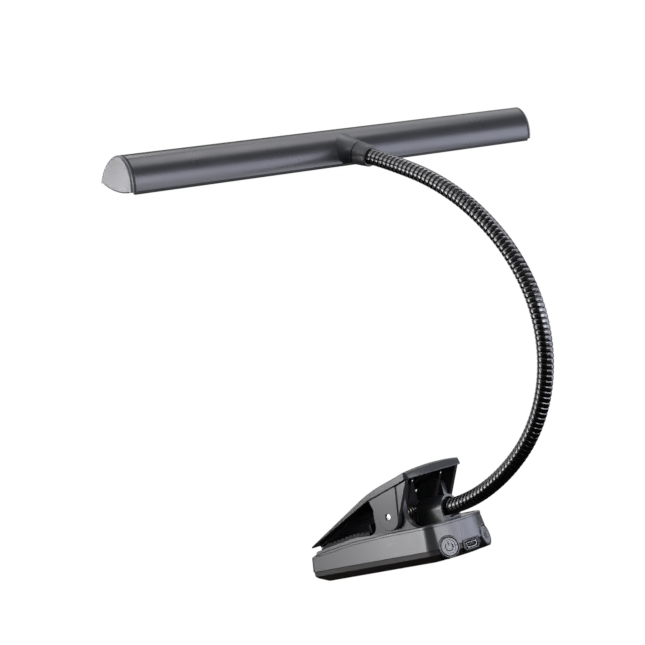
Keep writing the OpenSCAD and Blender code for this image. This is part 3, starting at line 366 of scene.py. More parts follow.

# %% [markdown]
# ## Lens, board, chips and cell
# The lens is opal PMMA: it lets light in and scatters it, so the chips don't show as dots. The board is
# glass laminate under a green mask, the chips are yellow phosphor resin, and the cell is a pouch of
# laminated foil, whose creases catch the light; the foil's colour is also darker along each crease, as
# painted shade.

# %% Lens
PMMA_IOR = 1.49
CLOUD_MM, SCATTER_MM = 6.0, 1.5
FROST_MM, FROST_DEPTH_MM = 0.5, 0.02        # drawn coarser than the real frost of about 0.05 mm, to show


def opal_lens():
    """Opal PMMA: white, a little translucent, with a fine matt side."""
    material = bpy.data.materials.new("PMMA_extruded_opal")
    tree = empty_tree(material)
    place = add_node(tree, "ShaderNodeTexCoord")
    cloud = add_node(tree, "ShaderNodeTexNoise", {
        "Vector": place.outputs["Object"], "Scale": per_metre(CLOUD_MM), "Detail": 2.0})
    frost = add_node(tree, "ShaderNodeTexNoise", {
        "Vector": place.outputs["Object"], "Scale": per_metre(FROST_MM), "Detail": 2.0})
    tone = add_node(tree, "ShaderNodeMix", {
        0: cloud.outputs["Fac"], 6: to_linear("#e6e6e0"), 7: to_linear("#f3f3ee")}, data_type="RGBA")
    matt = add_node(tree, "ShaderNodeMapRange", {
        "Value": frost.outputs["Fac"], "To Min": 0.28, "To Max": 0.42})
    bump = add_node(tree, "ShaderNodeBump", {
        "Height": frost.outputs["Fac"], "Strength": 0.2, "Distance": FROST_DEPTH_MM * MM})
    skin = add_node(tree, "ShaderNodeBsdfPrincipled", {
        "Base Color": tone.outputs[2], "Roughness": matt.outputs[0], "IOR": PMMA_IOR,
        "Normal": bump.outputs[0], "Subsurface Weight": 0.35, "Subsurface Scale": SCATTER_MM * MM,
        "Transmission Weight": 0.12})
    add_node(tree, "ShaderNodeOutputMaterial", {"Surface": skin.outputs[0]})
    finish["lens_plastic"] = material


opal_lens()
print("lens is", finish["lens_plastic"].name)

# %% Inner finishes
CREASE_MM, CREASE_DEPTH_MM = 7.0, 0.2


def cell_foil():
    """Pouch foil: bright grey, creased by the rolls that closed it, with painted shade darkening each crease."""
    material = bpy.data.materials.new("aluminium_foil_laminated_pouch")
    tree = empty_tree(material)
    place = add_node(tree, "ShaderNodeTexCoord")
    crease = add_node(tree, "ShaderNodeTexVoronoi", {
        "Vector": place.outputs["Object"], "Scale": per_metre(CREASE_MM)}, feature="DISTANCE_TO_EDGE")
    gloss = add_node(tree, "ShaderNodeMapRange", {
        "Value": crease.outputs["Distance"], "From Max": 0.2, "To Min": 0.5, "To Max": 0.3})
    # Painted shade: the colour is darkest on the crease lines.
    tone = add_node(tree, "ShaderNodeMix", {
        0: crease.outputs["Distance"], 6: to_linear("#7d8087"), 7: to_linear("#a4a7ad")}, data_type="RGBA")
    bump = add_node(tree, "ShaderNodeBump", {
        "Height": crease.outputs["Distance"], "Strength": 0.4, "Distance": CREASE_DEPTH_MM * MM})
    skin = add_node(tree, "ShaderNodeBsdfPrincipled", {
        "Base Color": tone.outputs[2], "Metallic": 0.8, "Roughness": gloss.outputs[0],
        "Normal": bump.outputs[0]})
    add_node(tree, "ShaderNodeOutputMaterial", {"Surface": skin.outputs[0]})
    finish["cell_foil"] = material


cell_foil()
# The mask lies over the glass weave and shows it as a soft mottle.
moulded("board_laminate", "FR4_laminate_green_solder_mask", "#123d27", "#1c5537",
        grain_mm=0.7, depth_mm=0.02, rough=(0.24, 0.36))
# Cast resin is smooth; the phosphor in it makes it yellow while the lamp is off.
moulded("chip_resin", "phosphor_resin_cast_yellow", "#d6bf5c", "#ecd98a",
        grain_mm=0.4, depth_mm=0.02, rough=(0.3, 0.42))
slot_of = {p["node"]: p["material_slot"] for p in frame["record"]["subparts"]}
for name, cad_node in frame["nodes"].items():
    for holder in cad_node.material_slots:
        holder.material = finish[slot_of[name]]
print(len(finish), "finishes on", len(frame["nodes"]), "nodes")

# %% [markdown]
# ## Pieces from points
# New pieces are plain meshes made from points and faces. One helper puts a mesh in the scene, where it
# takes the body, the material slot and, where it stands for one, the place of a CAD node. Most of the
# new pieces are stacks of rings with the same number of points, so their faces come from one formula.

# %% Piece helpers
SHARP_DEG = 50.0                  # an edge sharper than this stays sharp in the shading
body_of_node = {n: body for body, names in frame["record"]["behaviour"]["bodies"].items() for n in names}


def add_piece(name, mesh, slot, body=None, stands_for=()):
    """Puts a mesh in the scene with a finish, on a body, in the place of the CAD nodes it stands for."""
    mesh.materials.clear()
    mesh.materials.append(finish[slot])
    mesh.shade_smooth()
    piece = bpy.data.objects.new(name, mesh)
    scene.collection.objects.link(piece)
    if body:
        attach(piece, body)
    if stands_for:
        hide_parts(*stands_for)
    return piece


def build(name, points, faces, slot, body=None, stands_for=(), sharp=False):
    """A new piece from points in metres and faces; sharp keeps its hard edges in the smooth shading."""
    mesh = bpy.data.meshes.new(name)
    mesh.from_pydata([tuple(p) for p in points], [], [tuple(int(i) for i in f) for f in faces])
    shape = bmesh.new()
    shape.from_mesh(mesh)
    bmesh.ops.recalc_face_normals(shape, faces=shape.faces)
    shape.to_mesh(mesh)
    shape.free()
    piece = add_piece(name, mesh, slot, body, stands_for)
    if sharp:
        mesh.set_sharp_from_angle(angle=math.radians(SHARP_DEG))
    return piece


def grid_faces(rows, sides, first=0, flip=False):
    """Quads between rows of points that close on themselves."""
    k, j = np.meshgrid(np.arange(rows - 1), np.arange(sides), indexing="ij")
    a = first + k * sides + j
    b = first + k * sides + (j + 1) % sides
    quads = np.stack([a, a + sides, b + sides, b], axis=-1).reshape(-1, 4)
    return quads[:, ::-1] if flip else quads


def stack_faces(rows, sides):
    """Faces of a stack of rings, with a flat end on its first and its last ring."""
    last = (rows - 1) * sides
    return grid_faces(rows, sides).tolist() + [list(range(sides)), list(range(last, last + sides))]


# %% [markdown]
# ## Rounded edges
# Every moulded edge has a small radius, which draws a thin line of light along it. A Bevel modifier that
# is limited by angle rounds just those edges, and a Weighted Normal modifier keeps the large faces flat
# in the shading. A curve made of narrow flats holds the Bevel back, since it stops where two of its strips
# would meet; its clamp can be turned off for such a piece.

# %% Rounding helpers
ROUND_FROM_DEG = 35.0
ROUND_STEPS, FINE_STEPS = 3, 2    # across a moulded edge, and across a thin one
WELD_MM, SAME_FACE_DEG = 0.001, 0.3
MOULDED_FLATS = 80                # how strongly a large face wins; 50 is Blender's own value


def keep_flats(piece, weight=50):
    """Keeps the large faces of a piece flat in the smooth shading."""
    flats = piece.modifiers.new("flat_faces_stay_flat", "WEIGHTED_NORMAL")
    flats.keep_sharp = True
    flats.weight = weight


def round_edges(piece, radius_mm, steps=ROUND_STEPS, clamp=True):
    """Rounds the sharp edges of a piece."""
    bevel = piece.modifiers.new("rounded_edges", "BEVEL")
    bevel.width = radius_mm * MM
    bevel.segments = steps
    bevel.limit_method = "ANGLE"
    bevel.angle_limit = math.radians(ROUND_FROM_DEG)
    bevel.miter_outer = "MITER_ARC"
    bevel.use_clamp_overlap = clamp
    keep_flats(piece, MOULDED_FLATS)


def rounded_copy(node, radius_mm, clamp=True, reshape=None):
    """A moulded piece in the place of a CAD node: the same shape, with its edges rounded."""
    shape = bmesh.new()
    shape.from_mesh(frame["nodes"][node].data)
    bmesh.ops.remove_doubles(shape, verts=shape.verts, dist=WELD_MM * MM)
    bmesh.ops.dissolve_limit(
        shape, angle_limit=math.radians(SAME_FACE_DEG), verts=shape.verts, edges=shape.edges)
    if reshape:
        reshape(shape)
    mesh = bpy.data.meshes.new(node + "_skin")
    shape.to_mesh(mesh)
    shape.free()
    piece = add_piece(node + "_skin", mesh, slot_of[node], body_of_node[node], [node])
    round_edges(piece, radius_mm, clamp=clamp)


print("edges of more than", ROUND_FROM_DEG, "degrees are rounded")

# %% [markdown]
# ## Base, clip, buttons and lens
# These mouldings keep their CAD shape and only get their radii. The rear lip of the lever also leans: its
# lower edge stands a millimetre further out than its upper one, so that it looks up a little, past the low
# soft boxes at the right, and stays dark. Moving a few points of the copy does that.

# %% Rounded mouldings
ROUNDED_MM = {
    "base_shell": 0.3, "base_bottom_cover": 0.4, "base_top_cover": 0.3, "clip_lever": 0.4,
    "power_button": 0.25, "brightness_button": 0.25, "lower_jaw_pad": 0.25, "upper_jaw_pad": 0.25,
    "bar_lens": 0.2,
}
FACETED = ("base_shell", "clip_lever")      # their curves are narrow flats, so the clamp is off
LIP_EDGE_MM = (33.0, 42.9)          # behind this y and below this z lies the lower edge of the lever's lip
LIP_LEAN_MM = 1.2


def lean_lip(shape):
    """Sets the lower edge of the lever's rear lip further out."""
    for corner in shape.verts:
        if corner.co.y > LIP_EDGE_MM[0] * MM and corner.co.z < LIP_EDGE_MM[1] * MM:
            corner.co.y += LIP_LEAN_MM * MM


for name, radius in ROUNDED_MM.items():
    rounded_copy(name, radius, name not in FACETED, lean_lip if name == "clip_lever" else None)
print(len(ROUNDED_MM), "rounded mouldings")

# %% [markdown]
# ## Rim of the base
# The top cover laps over the shell in a bead about a millimetre and a half high. Its rounded top draws
# the light line along the rim, and the turned-under lower edge draws the dark line below it. The bead is
# one section carried along the outline: the two straight sides, the rear corners and the bowed rear.

# %% Outline of the base
BASE_HW_MM, BASE_REAR_MM, BASE_FRONT_MM = 22.0, 46.5, -46.5
REAR_BOW_R_MM, REAR_CORNER_R_MM = 38.0, 8.0
BEAD_START_MM = 3.0                 # from the base's front to the ends of the bead
SIDE_POINTS, CORNER_POINTS = 40, 14


def arc_points(x, y, radius, angles):
    """Points (x, y) on an arc about a middle, each with its outward normal."""
    return [(x + radius * math.cos(a), y + radius * math.sin(a), math.cos(a), math.sin(a)) for a in angles]


def rear_outline():
    """Points and normals of the base's outline, from one front end round the rear to the other."""
    bow_y = BASE_REAR_MM - REAR_BOW_R_MM
    corner_x = BASE_HW_MM - REAR_CORNER_R_MM
    corner_y = bow_y + math.sqrt((REAR_BOW_R_MM - REAR_CORNER_R_MM) ** 2 - corner_x ** 2)
    meet = math.atan2(corner_y - bow_y, corner_x)
    side_y = np.linspace(BASE_FRONT_MM + BEAD_START_MM, corner_y, SIDE_POINTS)[:-1]
    half = [(BASE_HW_MM, y, 1.0, 0.0) for y in side_y]
    half += arc_points(corner_x, corner_y, REAR_CORNER_R_MM, np.linspace(0.0, meet, CORNER_POINTS))
    half += arc_points(0.0, bow_y, REAR_BOW_R_MM, np.linspace(meet, math.pi / 2, CORNER_POINTS)[1:])
    return half + [(-x, y, -nx, ny) for x, y, nx, ny in half[-2::-1]]


print("outline has", len(rear_outline()), "points")

# %% Rim bead
RIM_YZ_MM = ((-46.5, 12.9), (-41.0, 14.7), (-13.5, 17.4), (11.5, 18.3), (46.5, 18.3))
SHELL_LEAN, PARTING_Z_MM = math.tan(math.radians(8.0)), 6.0     # the sides lean in above the parting line
BEAD_TALL_MM, BEAD_PROUD_MM, BEAD_TOP_R_MM, BEAD_FOOT_R_MM = 1.5, 0.22, 0.5, 0.25
BEAD_LIFT_MM = 0.04                 # of its top over the rim
BEAD_ROOT_MM = (0.9, 0.05)          # depth of its hidden side in the shell, and drop of its top there
BEAD_FADE_MM, BEAD_SUNK_MM = 5.0, 0.4       # over which each end sinks into the shell, and how deep
BEAD_TOP_POINTS = 7


def quarter_round(a, b, step_a, step_b, steps=5):
    """Points of a rounded corner, from (a + step_a, b) to (a, b + step_b), where (a, b) is the sharp one."""
    t = np.linspace(0, math.pi / 2, steps)
    return list(zip(a + step_a * (1 - np.sin(t)), b + step_b * (1 - np.cos(t))))


bead_foot = quarter_round(-BEAD_TALL_MM, BEAD_PROUD_MM, BEAD_FOOT_R_MM, -BEAD_FOOT_R_MM)
section = np.array(
    [(-BEAD_ROOT_MM[0], -BEAD_ROOT_MM[1])]
    + quarter_round(BEAD_PROUD_MM, BEAD_LIFT_MM, -BEAD_TOP_R_MM, -BEAD_TOP_R_MM, BEAD_TOP_POINTS)
    + [(out, up) for up, out in bead_foot]
    + [(-BEAD_ROOT_MM[0], -BEAD_TALL_MM)])
rows = []
for x, y, nx, ny in rear_outline():
    z = np.interp(y, *zip(*RIM_YZ_MM)) + section[:, 1]
    sunk = BEAD_SUNK_MM * max(0.0, 1 - (y - BASE_FRONT_MM - BEAD_START_MM) / BEAD_FADE_MM)
    out = section[:, 0] - sunk - (z - PARTING_Z_MM) * SHELL_LEAN
    rows.append(np.column_stack([x + nx * out, y + ny * out, z]))
faces = stack_faces(len(rows), len(section))
build("rim_bead", np.concatenate(rows) * MM, faces, "shell_plastic", "base", sharp=True)
print("rim bead has", len(faces), "faces")

# %% [markdown]
# ## Pin and pad stop
# The pin is turned from round bar, so it is drawn as a lathe would cut it: one outline, spun round the
# axis in steps fine enough for its bright ends to look round. In front of it the rubber of the lower jaw
# turns up in a low stop, which keeps a sheet of music off the spring and closes the view through the jaw.

# %% Pin and stop
PIN_SIDES, PIN_EDGE_MM = 48, 0.35
STOP_T_MM, STOP_TOP_MM, STOP_EDGE_MM = 1.4, 24.2, 0.5
STOP_LAP_MM, STOP_INSET_MM, STOP_ROOT_MM = 0.2, 1.0, 1.5    # over the pad's end, off its sides, into it


def lathe(profile, sides):
    """A ring of points (along, right, up) for each (along, radius) of a turned profile."""
    turn = np.arange(sides) * 2 * math.pi / sides
    return np.array([np.column_stack([np.full(sides, along), r * np.cos(turn), r * np.sin(turn)])
                     for along, r in profile])


def block(low, high):
    """Corners of a box between two opposite corners, as a stack of two rings."""
    (x0, y0, z0), (x1, y1, z1) = low, high
    return np.array([(x, y, z) for z in (z0, z1) for x, y in ((x0, y0), (x1, y0), (x1, y1), (x0, y1))])


low, high = (np.array(v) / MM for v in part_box("pivot_pin"))
pin_y, pin_z, pin_r = (low[1] + high[1]) / 2, (low[2] + high[2]) / 2, (high[2] - low[2]) / 2
turned = quarter_round(low[0], pin_r, PIN_EDGE_MM, -PIN_EDGE_MM)[::-1]
turned += quarter_round(high[0], pin_r, -PIN_EDGE_MM, -PIN_EDGE_MM)
rings = lathe(turned, PIN_SIDES) + (0.0, pin_y, pin_z)
build("turned_pin", np.concatenate(rings) * MM, stack_faces(len(rings), PIN_SIDES),
      slot_of["pivot_pin"], body_of_node["pivot_pin"], ["pivot_pin"], sharp=True)

low, high = (np.array(v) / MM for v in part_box("lower_jaw_pad"))
stop_x, stop_y = high[0] - STOP_INSET_MM, high[1] - STOP_LAP_MM
corners = block((-stop_x, stop_y, high[2] - STOP_ROOT_MM), (stop_x, stop_y + STOP_T_MM, STOP_TOP_MM))
stop = build("pad_stop", corners * MM, stack_faces(2, 4), "grip_rubber", "base")
round_edges(stop, STOP_EDGE_MM)
print("pin is", round(2 * pin_r, 1), "mm thick; the stop rises", round(STOP_TOP_MM - high[2], 1), "mm")

# %% [markdown]
# ## Charging socket
# A socket of this kind is a strip of thin steel folded round a plastic tongue. From outside, only its bright
# front edge and the tongue show. The shell is drawn as an outline with a wall, pulled back from the
# front edge, and the tongue stands free inside it.

# %% Socket
SOCKET_WALL_MM, SOCKET_BEVEL_MM, SOCKET_BACK_MM = 0.3, 0.8, 1.5
SOCKET_FORWARD_MM = 1.2             # brings the front edge close behind the skin of the base
BEVEL_LOSS = 0.4                    # of the cut corners, for each millimetre of inset
TONGUE_MM = (4.2, 0.7, 0.5)         # width, height, and how far it stays behind the front edge
TONGUE_LIFT_MM, TONGUE_ROOT_MM = 0.1, 0.5       # above the middle, and into the back
SOCKET_EDGE_MM, TONGUE_EDGE_MM = 0.08, 0.12
low, high = (np.array(v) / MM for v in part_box("usb_socket"))
high[1] += SOCKET_FORWARD_MM


def socket_outline(inset):
    """The socket's outline as (x, z), with its two lower corners cut."""
    x, cut = high[0] - inset, SOCKET_BEVEL_MM - BEVEL_LOSS * inset
    z0, z1 = low[2] + inset, high[2] - inset
    return [(cut - x, z0), (x - cut, z0), (x, z0 + cut), (x, z1), (-x, z1), (-x, z0 + cut)]


back = low[1] + SOCKET_BACK_MM
rings = [[(x, y, z) for x, z in socket_outline(inset)] for inset, y in (
    (0.0, low[1]), (0.0, high[1]), (SOCKET_WALL_MM, high[1]), (SOCKET_WALL_MM, back))]
faces = stack_faces(len(rings), len(rings[0]))
socket = build("socket_shell", np.concatenate(rings) * MM, faces, "socket_steel", "base", ["usb_socket"])
round_edges(socket, SOCKET_EDGE_MM, FINE_STEPS)
half_w, half_h = TONGUE_MM[0] / 2, TONGUE_MM[1] / 2
middle = (low[2] + high[2]) / 2 + TONGUE_LIFT_MM
corners = block((-half_w, back - TONGUE_ROOT_MM, middle - half_h),
                (half_w, high[1] - TONGUE_MM[2], middle + half_h))
tongue = build("socket_tongue", corners * MM, stack_faces(2, 4), "switch_plastic", "base")
round_edges(tongue, TONGUE_EDGE_MM, FINE_STEPS)
print("socket is", [round(float(v), 1) for v in high - low], "mm")

# %% [markdown]
# ## The gooseneck's centre line
# The neck is a chain of arcs that run smoothly into each other, and its joints lie where two arcs meet.
# So the arcs follow from the joints: the chord from one joint to the next points half way between the
# headings at its two ends, which gives each next heading from the last one. The last arc ends square to
# the flat side of the bar, whose slope is read from the strip inside it.

# %% Centre line
neck_joints = [j for j in frame["joints"] if j["name"].startswith("neck_")]
low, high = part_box("neck_ferrule_lower")
stations = [Vector((0, high.y, (low.z + high.z) / 2))] + [Vector(j["pos_m"]) for j in neck_joints]
strip_faces = frame["nodes"]["led_board"].data.polygons
flat_side = max(strip_faces, key=lambda p: p.area * (p.normal.z > 0))
bar_angle = math.atan2(-flat_side.normal.y, flat_side.normal.z)

headings = [0.0]
for a, b in zip(stations, stations[1:]):
    chord = math.atan2(b.z - a.z, b.y - a.y)
    headings.append(2 * chord - headings[-1])
turns = np.diff(headings + [math.pi + bar_angle])
first_chord = (stations[1] - stations[0]).length
section_length = first_chord * (turns[0] / 2) / math.sin(turns[0] / 2)
neck_length = section_length * len(stations)


def centre_line(distance):
    """Points and headings at these distances along the neck."""
    distance = np.asarray(distance, float)
    i = np.clip((distance / section_length).astype(int), 0, len(stations) - 1)
    start = np.array(stations)[i]
    heading = np.array(headings)[i]
    turn = turns[i] * (distance - i * section_length) / section_length
    radius = section_length / turns[i]
    points = start.copy()
    points[:, 1] += radius * (np.sin(heading + turn) - np.sin(heading))
    points[:, 2] += radius * (np.cos(heading) - np.cos(heading + turn))
    return points, heading + turn


neck_end = Vector(centre_line([neck_length])[0][0])
print("neck is", round(neck_length / MM, 1), "mm long and ends at", [round(v / MM, 2) for v in neck_end])

# %% [markdown]
# ## The gooseneck
# A gooseneck is spring wire wound in a tight coil, with a thin wedge-shaped wire wound into the groove
# between its turns. The wedge grips the turns, so the neck stays where it is bent. Winding has pressed
# the wire's crests flat, and the groove is narrow. Sweeping two real wires would cost many faces, so the
# outside is one skin whose radius follows both wires along a helix. Each joint's stretch is a piece of
# its own, from the middle of one section to the middle of the next, so that neighbours meet without a
# seam.

# %% Wound skin
NECK_R_MM = 4.0
COIL_PITCH_MM = 2.6
GROOVE_DEPTH_MM = 0.42
GROOVE_SHARPNESS = 5.0          # 2 is a round wire, more has a flatter crest and a narrower groove
WEDGE_DEPTH_MM = 0.34           # how far down the wedge wire lies
NECK_SIDES = 36


def neck_radius(distance, angle):
    """Radius of the wound skin: the outer wire's turns, with the wedge wire at the bottom of the groove."""
    phase = distance / (COIL_PITCH_MM * MM) - angle / (2 * math.pi)
    off_crest = np.abs(np.mod(phase, 1.0) - 0.5) * 2
    dip = np.minimum(GROOVE_DEPTH_MM * off_crest ** GROOVE_SHARPNESS, WEDGE_DEPTH_MM)
    return (NECK_R_MM - dip) * MM


def neck_surface(distances, radius):
    """Points of a tube round the centre line, a row of NECK_SIDES for each distance."""
    angle = np.arange(NECK_SIDES) * 2 * math.pi / NECK_SIDES
    s, q = np.meshgrid(distances, angle, indexing="ij")
    points, heading = centre_line(distances)
    r = radius(s, q)
    out = np.repeat(points[:, None, :], NECK_SIDES, axis=1)
    out[:, :, 0] += r * np.cos(q)
    out[:, :, 1] -= r * np.sin(q) * np.sin(heading)[:, None]
    out[:, :, 2] += r * np.sin(q) * np.cos(heading)[:, None]
    return out


def unit(vectors):
    """Vectors of length 1 in the same directions."""
    return vectors / np.linalg.norm(vectors, axis=-1, keepdims=True)


print("one turn in", COIL_PITCH_MM, "mm,", NECK_SIDES, "points round the neck")

# %% Gooseneck
NECK_BORE_R_MM = 1.8
STEPS_PER_TURN = 18


def neck_piece(name, start, end):
    """The neck from start to end: the wound skin, the bore, and a ring at each end."""
    rows = max(2, round((end - start) / (COIL_PITCH_MM * MM) * STEPS_PER_TURN))
    step = (end - start) / (rows - 1)
    wide = neck_surface(start + step * np.arange(-1, rows + 1), neck_radius)     # a row more at each end
    skin = wide[1:-1]
    bore_rows = max(2, rows // STEPS_PER_TURN)
    bore_at = np.linspace(start, end, bore_rows)
    bore = neck_surface(bore_at, lambda s, q: np.full_like(s, NECK_BORE_R_MM * MM))
    points = np.concatenate([skin.reshape(-1, 3), bore.reshape(-1, 3)])
    along = wide[2:] - wide[:-2]
    around = np.roll(skin, -1, axis=1) - np.roll(skin, 1, axis=1)
    outwards = unit(np.cross(along, around))
    inwards = unit(centre_line(bore_at)[0][:, None, :] - bore)
    corner_normals = np.concatenate([outwards.reshape(-1, 3), inwards.reshape(-1, 3)])
    first = rows * NECK_SIDES
    j = np.arange(NECK_SIDES)
    m = (j + 1) % NECK_SIDES
    near = np.stack([j, m, first + m, first + j], axis=-1)
    far_skin, far_bore = first - NECK_SIDES, first + (bore_rows - 1) * NECK_SIDES
    far = np.stack([far_skin + m, far_skin + j, far_bore + j, far_bore + m], axis=-1)
    bore_faces = grid_faces(bore_rows, NECK_SIDES, first, flip=True)
    faces = np.concatenate([grid_faces(rows, NECK_SIDES), bore_faces, near, far])
    mesh = bpy.data.meshes.new(name)
    mesh.from_pydata(points.tolist(), [], faces.tolist())
    piece = add_piece(name, mesh, "neck_steel")
    mesh.normals_split_custom_set_from_vertices(corner_normals.tolist())
    return piece


neck_bodies = ["base"] + [j["child"] for j in neck_joints]
middles = [(i + 0.5) * section_length for i in range(len(neck_bodies))]
foot = neck_piece("gooseneck_foot", 0.0, middles[0])
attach(foot, neck_bodies[0])
for i, (a, b) in enumerate(zip(neck_bodies, neck_bodies[1:])):
    stretch = neck_piece(f"gooseneck_stretch_{i + 1}", middles[i], middles[i + 1])
    ends = centre_line([middles[i], middles[i + 1]])[0]
    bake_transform(stretch)
    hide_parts(f"neck_section_{i + 1}")
tip = neck_piece("gooseneck_tip", middles[-1], neck_length)
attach(tip, neck_bodies[-1])
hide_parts(f"neck_section_{len(neck_bodies)}")
print("gooseneck in", len(neck_bodies) + 1, "pieces,", round(neck_length / MM / COIL_PITCH_MM), "turns")

# %% [markdown]
# ## The clip spring
# A double torsion spring sits on the pin: two coils, a bow between them that rests on the base, and two
# legs that push the rear of the lever up. A curve with a bevel would do for a still picture, but the legs
# have to follow the lever, so the wire is a mesh swept along its own path.

# %% Wire helpers
NO_WIRE_STARTS_ALONG = (0.3, 0.5, 0.8)      # a direction that gives every wire a first side


def joint(name):
    """The frame's joint of this name."""
    return next(j for j in frame["joints"] if j["name"] == name)


def swept_wire(path, radius, sides):
    """Points and faces of a round wire along a path, with flat ends."""
    path = np.asarray(path, float)
    heading = unit(np.gradient(path, axis=0))
    side = np.cross(heading[0], NO_WIRE_STARTS_ALONG)
    points = []
    angle = np.arange(sides) * 2 * math.pi / sides
    for p, h in zip(path, heading):
        side = unit(side - h * (side @ h))
        other = np.cross(h, side)
        points.append(p + radius * (np.outer(np.cos(angle), side) + np.outer(np.sin(angle), other)))
    return np.concatenate(points), stack_faces(len(path), sides)


def smooth_path(points, steps):
    """A curve through the points, with this many steps between two of them."""
    p = np.asarray(points, float)
    p = np.concatenate([[2 * p[0] - p[1]], p, [2 * p[-1] - p[-2]]])
    out = []
    for a, b, c, d in zip(p, p[1:], p[2:], p[3:]):
        t = (np.arange(steps) / steps)[:, None]
        out.append(0.5 * (2 * b + (c - a) * t + (2 * a - 5 * b + 4 * c - d) * t ** 2
                          + (3 * b - a - 3 * c + d) * t ** 3))
    return np.concatenate(out + [[p[-2]]])


print("the clip turns about", [round(v / MM, 1) for v in joint("clip_hinge")["pos_m"]], "mm")

# %% Spring
SPRING_WIRE_R_MM = 0.7
SPRING_COIL_R_MM = 3.4
SPRING_TURNS = 3
SPRING_PITCH_MM = 1.95
SPRING_START_MM = 5.0
SPRING_EXIT_DEG = 30.0
BOW_BEND_MM = ((-1.6, 0.0), (-0.5, 0.5), (0.0, 1.6))    # from the coil's start, and above the bow
RINGS_PER_TURN, BOW_STEPS, LEG_POINTS = 28, 6, 14
WIRE_SIDES = 14

hinge = Vector(joint("clip_hinge")["pos_m"])
low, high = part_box("clip_spring")
bow_z = low.z / MM + SPRING_WIRE_R_MM
leg_top = high.z / MM - SPRING_WIRE_R_MM
pin_y, pin_z = hinge.y / MM, hinge.z / MM
bow_y = pin_y + SPRING_COIL_R_MM
exit_rad = math.radians(SPRING_EXIT_DEG)
coil_turn = np.linspace(0, 2 * math.pi * SPRING_TURNS - exit_rad, SPRING_TURNS * RINGS_PER_TURN)
coil = np.stack([SPRING_START_MM + SPRING_PITCH_MM * coil_turn / (2 * math.pi),
                 pin_y + SPRING_COIL_R_MM * np.cos(coil_turn),
                 pin_z + SPRING_COIL_R_MM * np.sin(coil_turn)], axis=-1)
bow_points = [(SPRING_START_MM + x, bow_y, bow_z + z) for x, z in BOW_BEND_MM]
bow = smooth_path([(0, bow_y, bow_z)] + bow_points + [coil[0]], BOW_STEPS)[:-1]
leg_length = (leg_top - coil[-1][2]) / math.cos(exit_rad)
leg_way = (0, math.sin(exit_rad), math.cos(exit_rad))
leg = coil[-1] + np.outer(np.linspace(0, leg_length, LEG_POINTS)[1:], leg_way)
half_wire = np.concatenate([bow, coil, leg])
whole_wire = np.concatenate([half_wire[:0:-1] * (-1, 1, 1), half_wire])
points, faces = swept_wire(whole_wire * MM, SPRING_WIRE_R_MM * MM, WIRE_SIDES)
spring = build("torsion_spring", points, faces, "spring_steel", stands_for=["clip_spring"])
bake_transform(spring)
print("spring wire is", round(np.linalg.norm(np.diff(whole_wire, axis=0), axis=1).sum()), "mm long")

# %% [markdown]
# ## The light bar's housing
# The housing is one extruded profile, arched on the back and open below for the lens. The CAD arch has
# flats that would show in the long highlights, so the profile is drawn again with finer steps, from the
# same curve, and pulled out to its length. Its lips and ends are rounded by the Bevel modifier. A strip of
# black rubber along each lip holds the lens and draws the dark line below the bar: it lies in the shade
# under the lip, and its black adds painted shade to that.

# %% Bar frame and arch
BAR_W_MM, BAR_H_MM = 21.5, 15.0
BAR_FULLNESS = 1.8                  # 2 is an ellipse, less is more pointed
COLLAR_Z_MM, SEAT_Y_MM = 6.4, 22.9  # the collar's axis above the flat side, and where the neck ends
ARCH_STEPS = 96


def on_bar(points):
    """World points in metres, from millimetres in the bar's own frame: flat side down, collar to +y."""
    p = np.asarray(points, float)
    c, s = math.cos(bar_angle), math.sin(bar_angle)
    y, z = p[..., 1] - SEAT_Y_MM, p[..., 2] - COLLAR_Z_MM
    return np.stack([p[..., 0], y * c - z * s, y * s + z * c], axis=-1) * MM + np.array(neck_end)


def arch(inset):
    """The arched back as (y, z), from its +y lip over the top to the other lip."""
    t = np.linspace(0, math.pi, ARCH_STEPS + 1)
    c, s = np.cos(t), np.sin(t)
    power = 2 / BAR_FULLNESS
    return np.stack([(BAR_W_MM / 2 - inset) * np.sign(c) * np.abs(c) ** power,
                     (BAR_H_MM - inset) * np.abs(s) ** power], axis=-1)


print("arch in", ARCH_STEPS, "steps, bar tilted by", round(math.degrees(bar_angle), 1), "degrees")

# %% Housing and gaskets
BAR_LEN_MM, BAR_WALL_MM, BAR_EDGE_MM, CAP_T_MM = 290.0, 1.6, 0.45, 2.5
GASKET_YZ_MM = ((9.3, -1.2), (10.6, -1.2), (10.75, 0.1), (9.3, 0.1))        # section at the +y lip
GASKET_OVER_MM, GASKET_EDGE_MM = 0.2, 0.2


def across(x, profile):
    """A profile of (y, z) set across the bar at x."""
    return np.column_stack([np.full(len(profile), x), profile])


def bar_strip(name, profile, half_length, edge_mm, steps, slot, stands_for=()):
    """A closed profile pulled out along the bar, to half_length on each side, with rounded edges."""
    ends = np.concatenate([across(x, profile) for x in (-half_length, half_length)])
    strip = build(name, on_bar(ends), stack_faces(2, len(profile)), slot, "head", stands_for)
    round_edges(strip, edge_mm, steps)


housing_end = BAR_LEN_MM / 2 - CAP_T_MM
shell_profile = np.concatenate([arch(0.0), arch(BAR_WALL_MM)[::-1]])
bar_strip("bar_shell", shell_profile, housing_end, BAR_EDGE_MM, ROUND_STEPS, "bar_plastic", ["bar_housing"])
# The black gaskets add painted shade to the dark line under the bar.
for name, side in (("gasket_near", 1), ("gasket_far", -1)):
    profile = np.array(GASKET_YZ_MM) * (side, 1)
    bar_strip(name, profile, housing_end + GASKET_OVER_MM, GASKET_EDGE_MM, FINE_STEPS, "grip_rubber")
print("housing is", round(2 * housing_end), "mm long, with", len(shell_profile), "points in its profile")

# %% [markdown]
# ## Stub
# The gooseneck ends in a short stub that is moulded with the housing and flares out to meet it. A Bevel
# can't follow such a curved seam cleanly. Here each ring of the stub is laid out by itself, from just under
# the skin of the arch along the flare to the rounded end, the spigot and back through the bore.

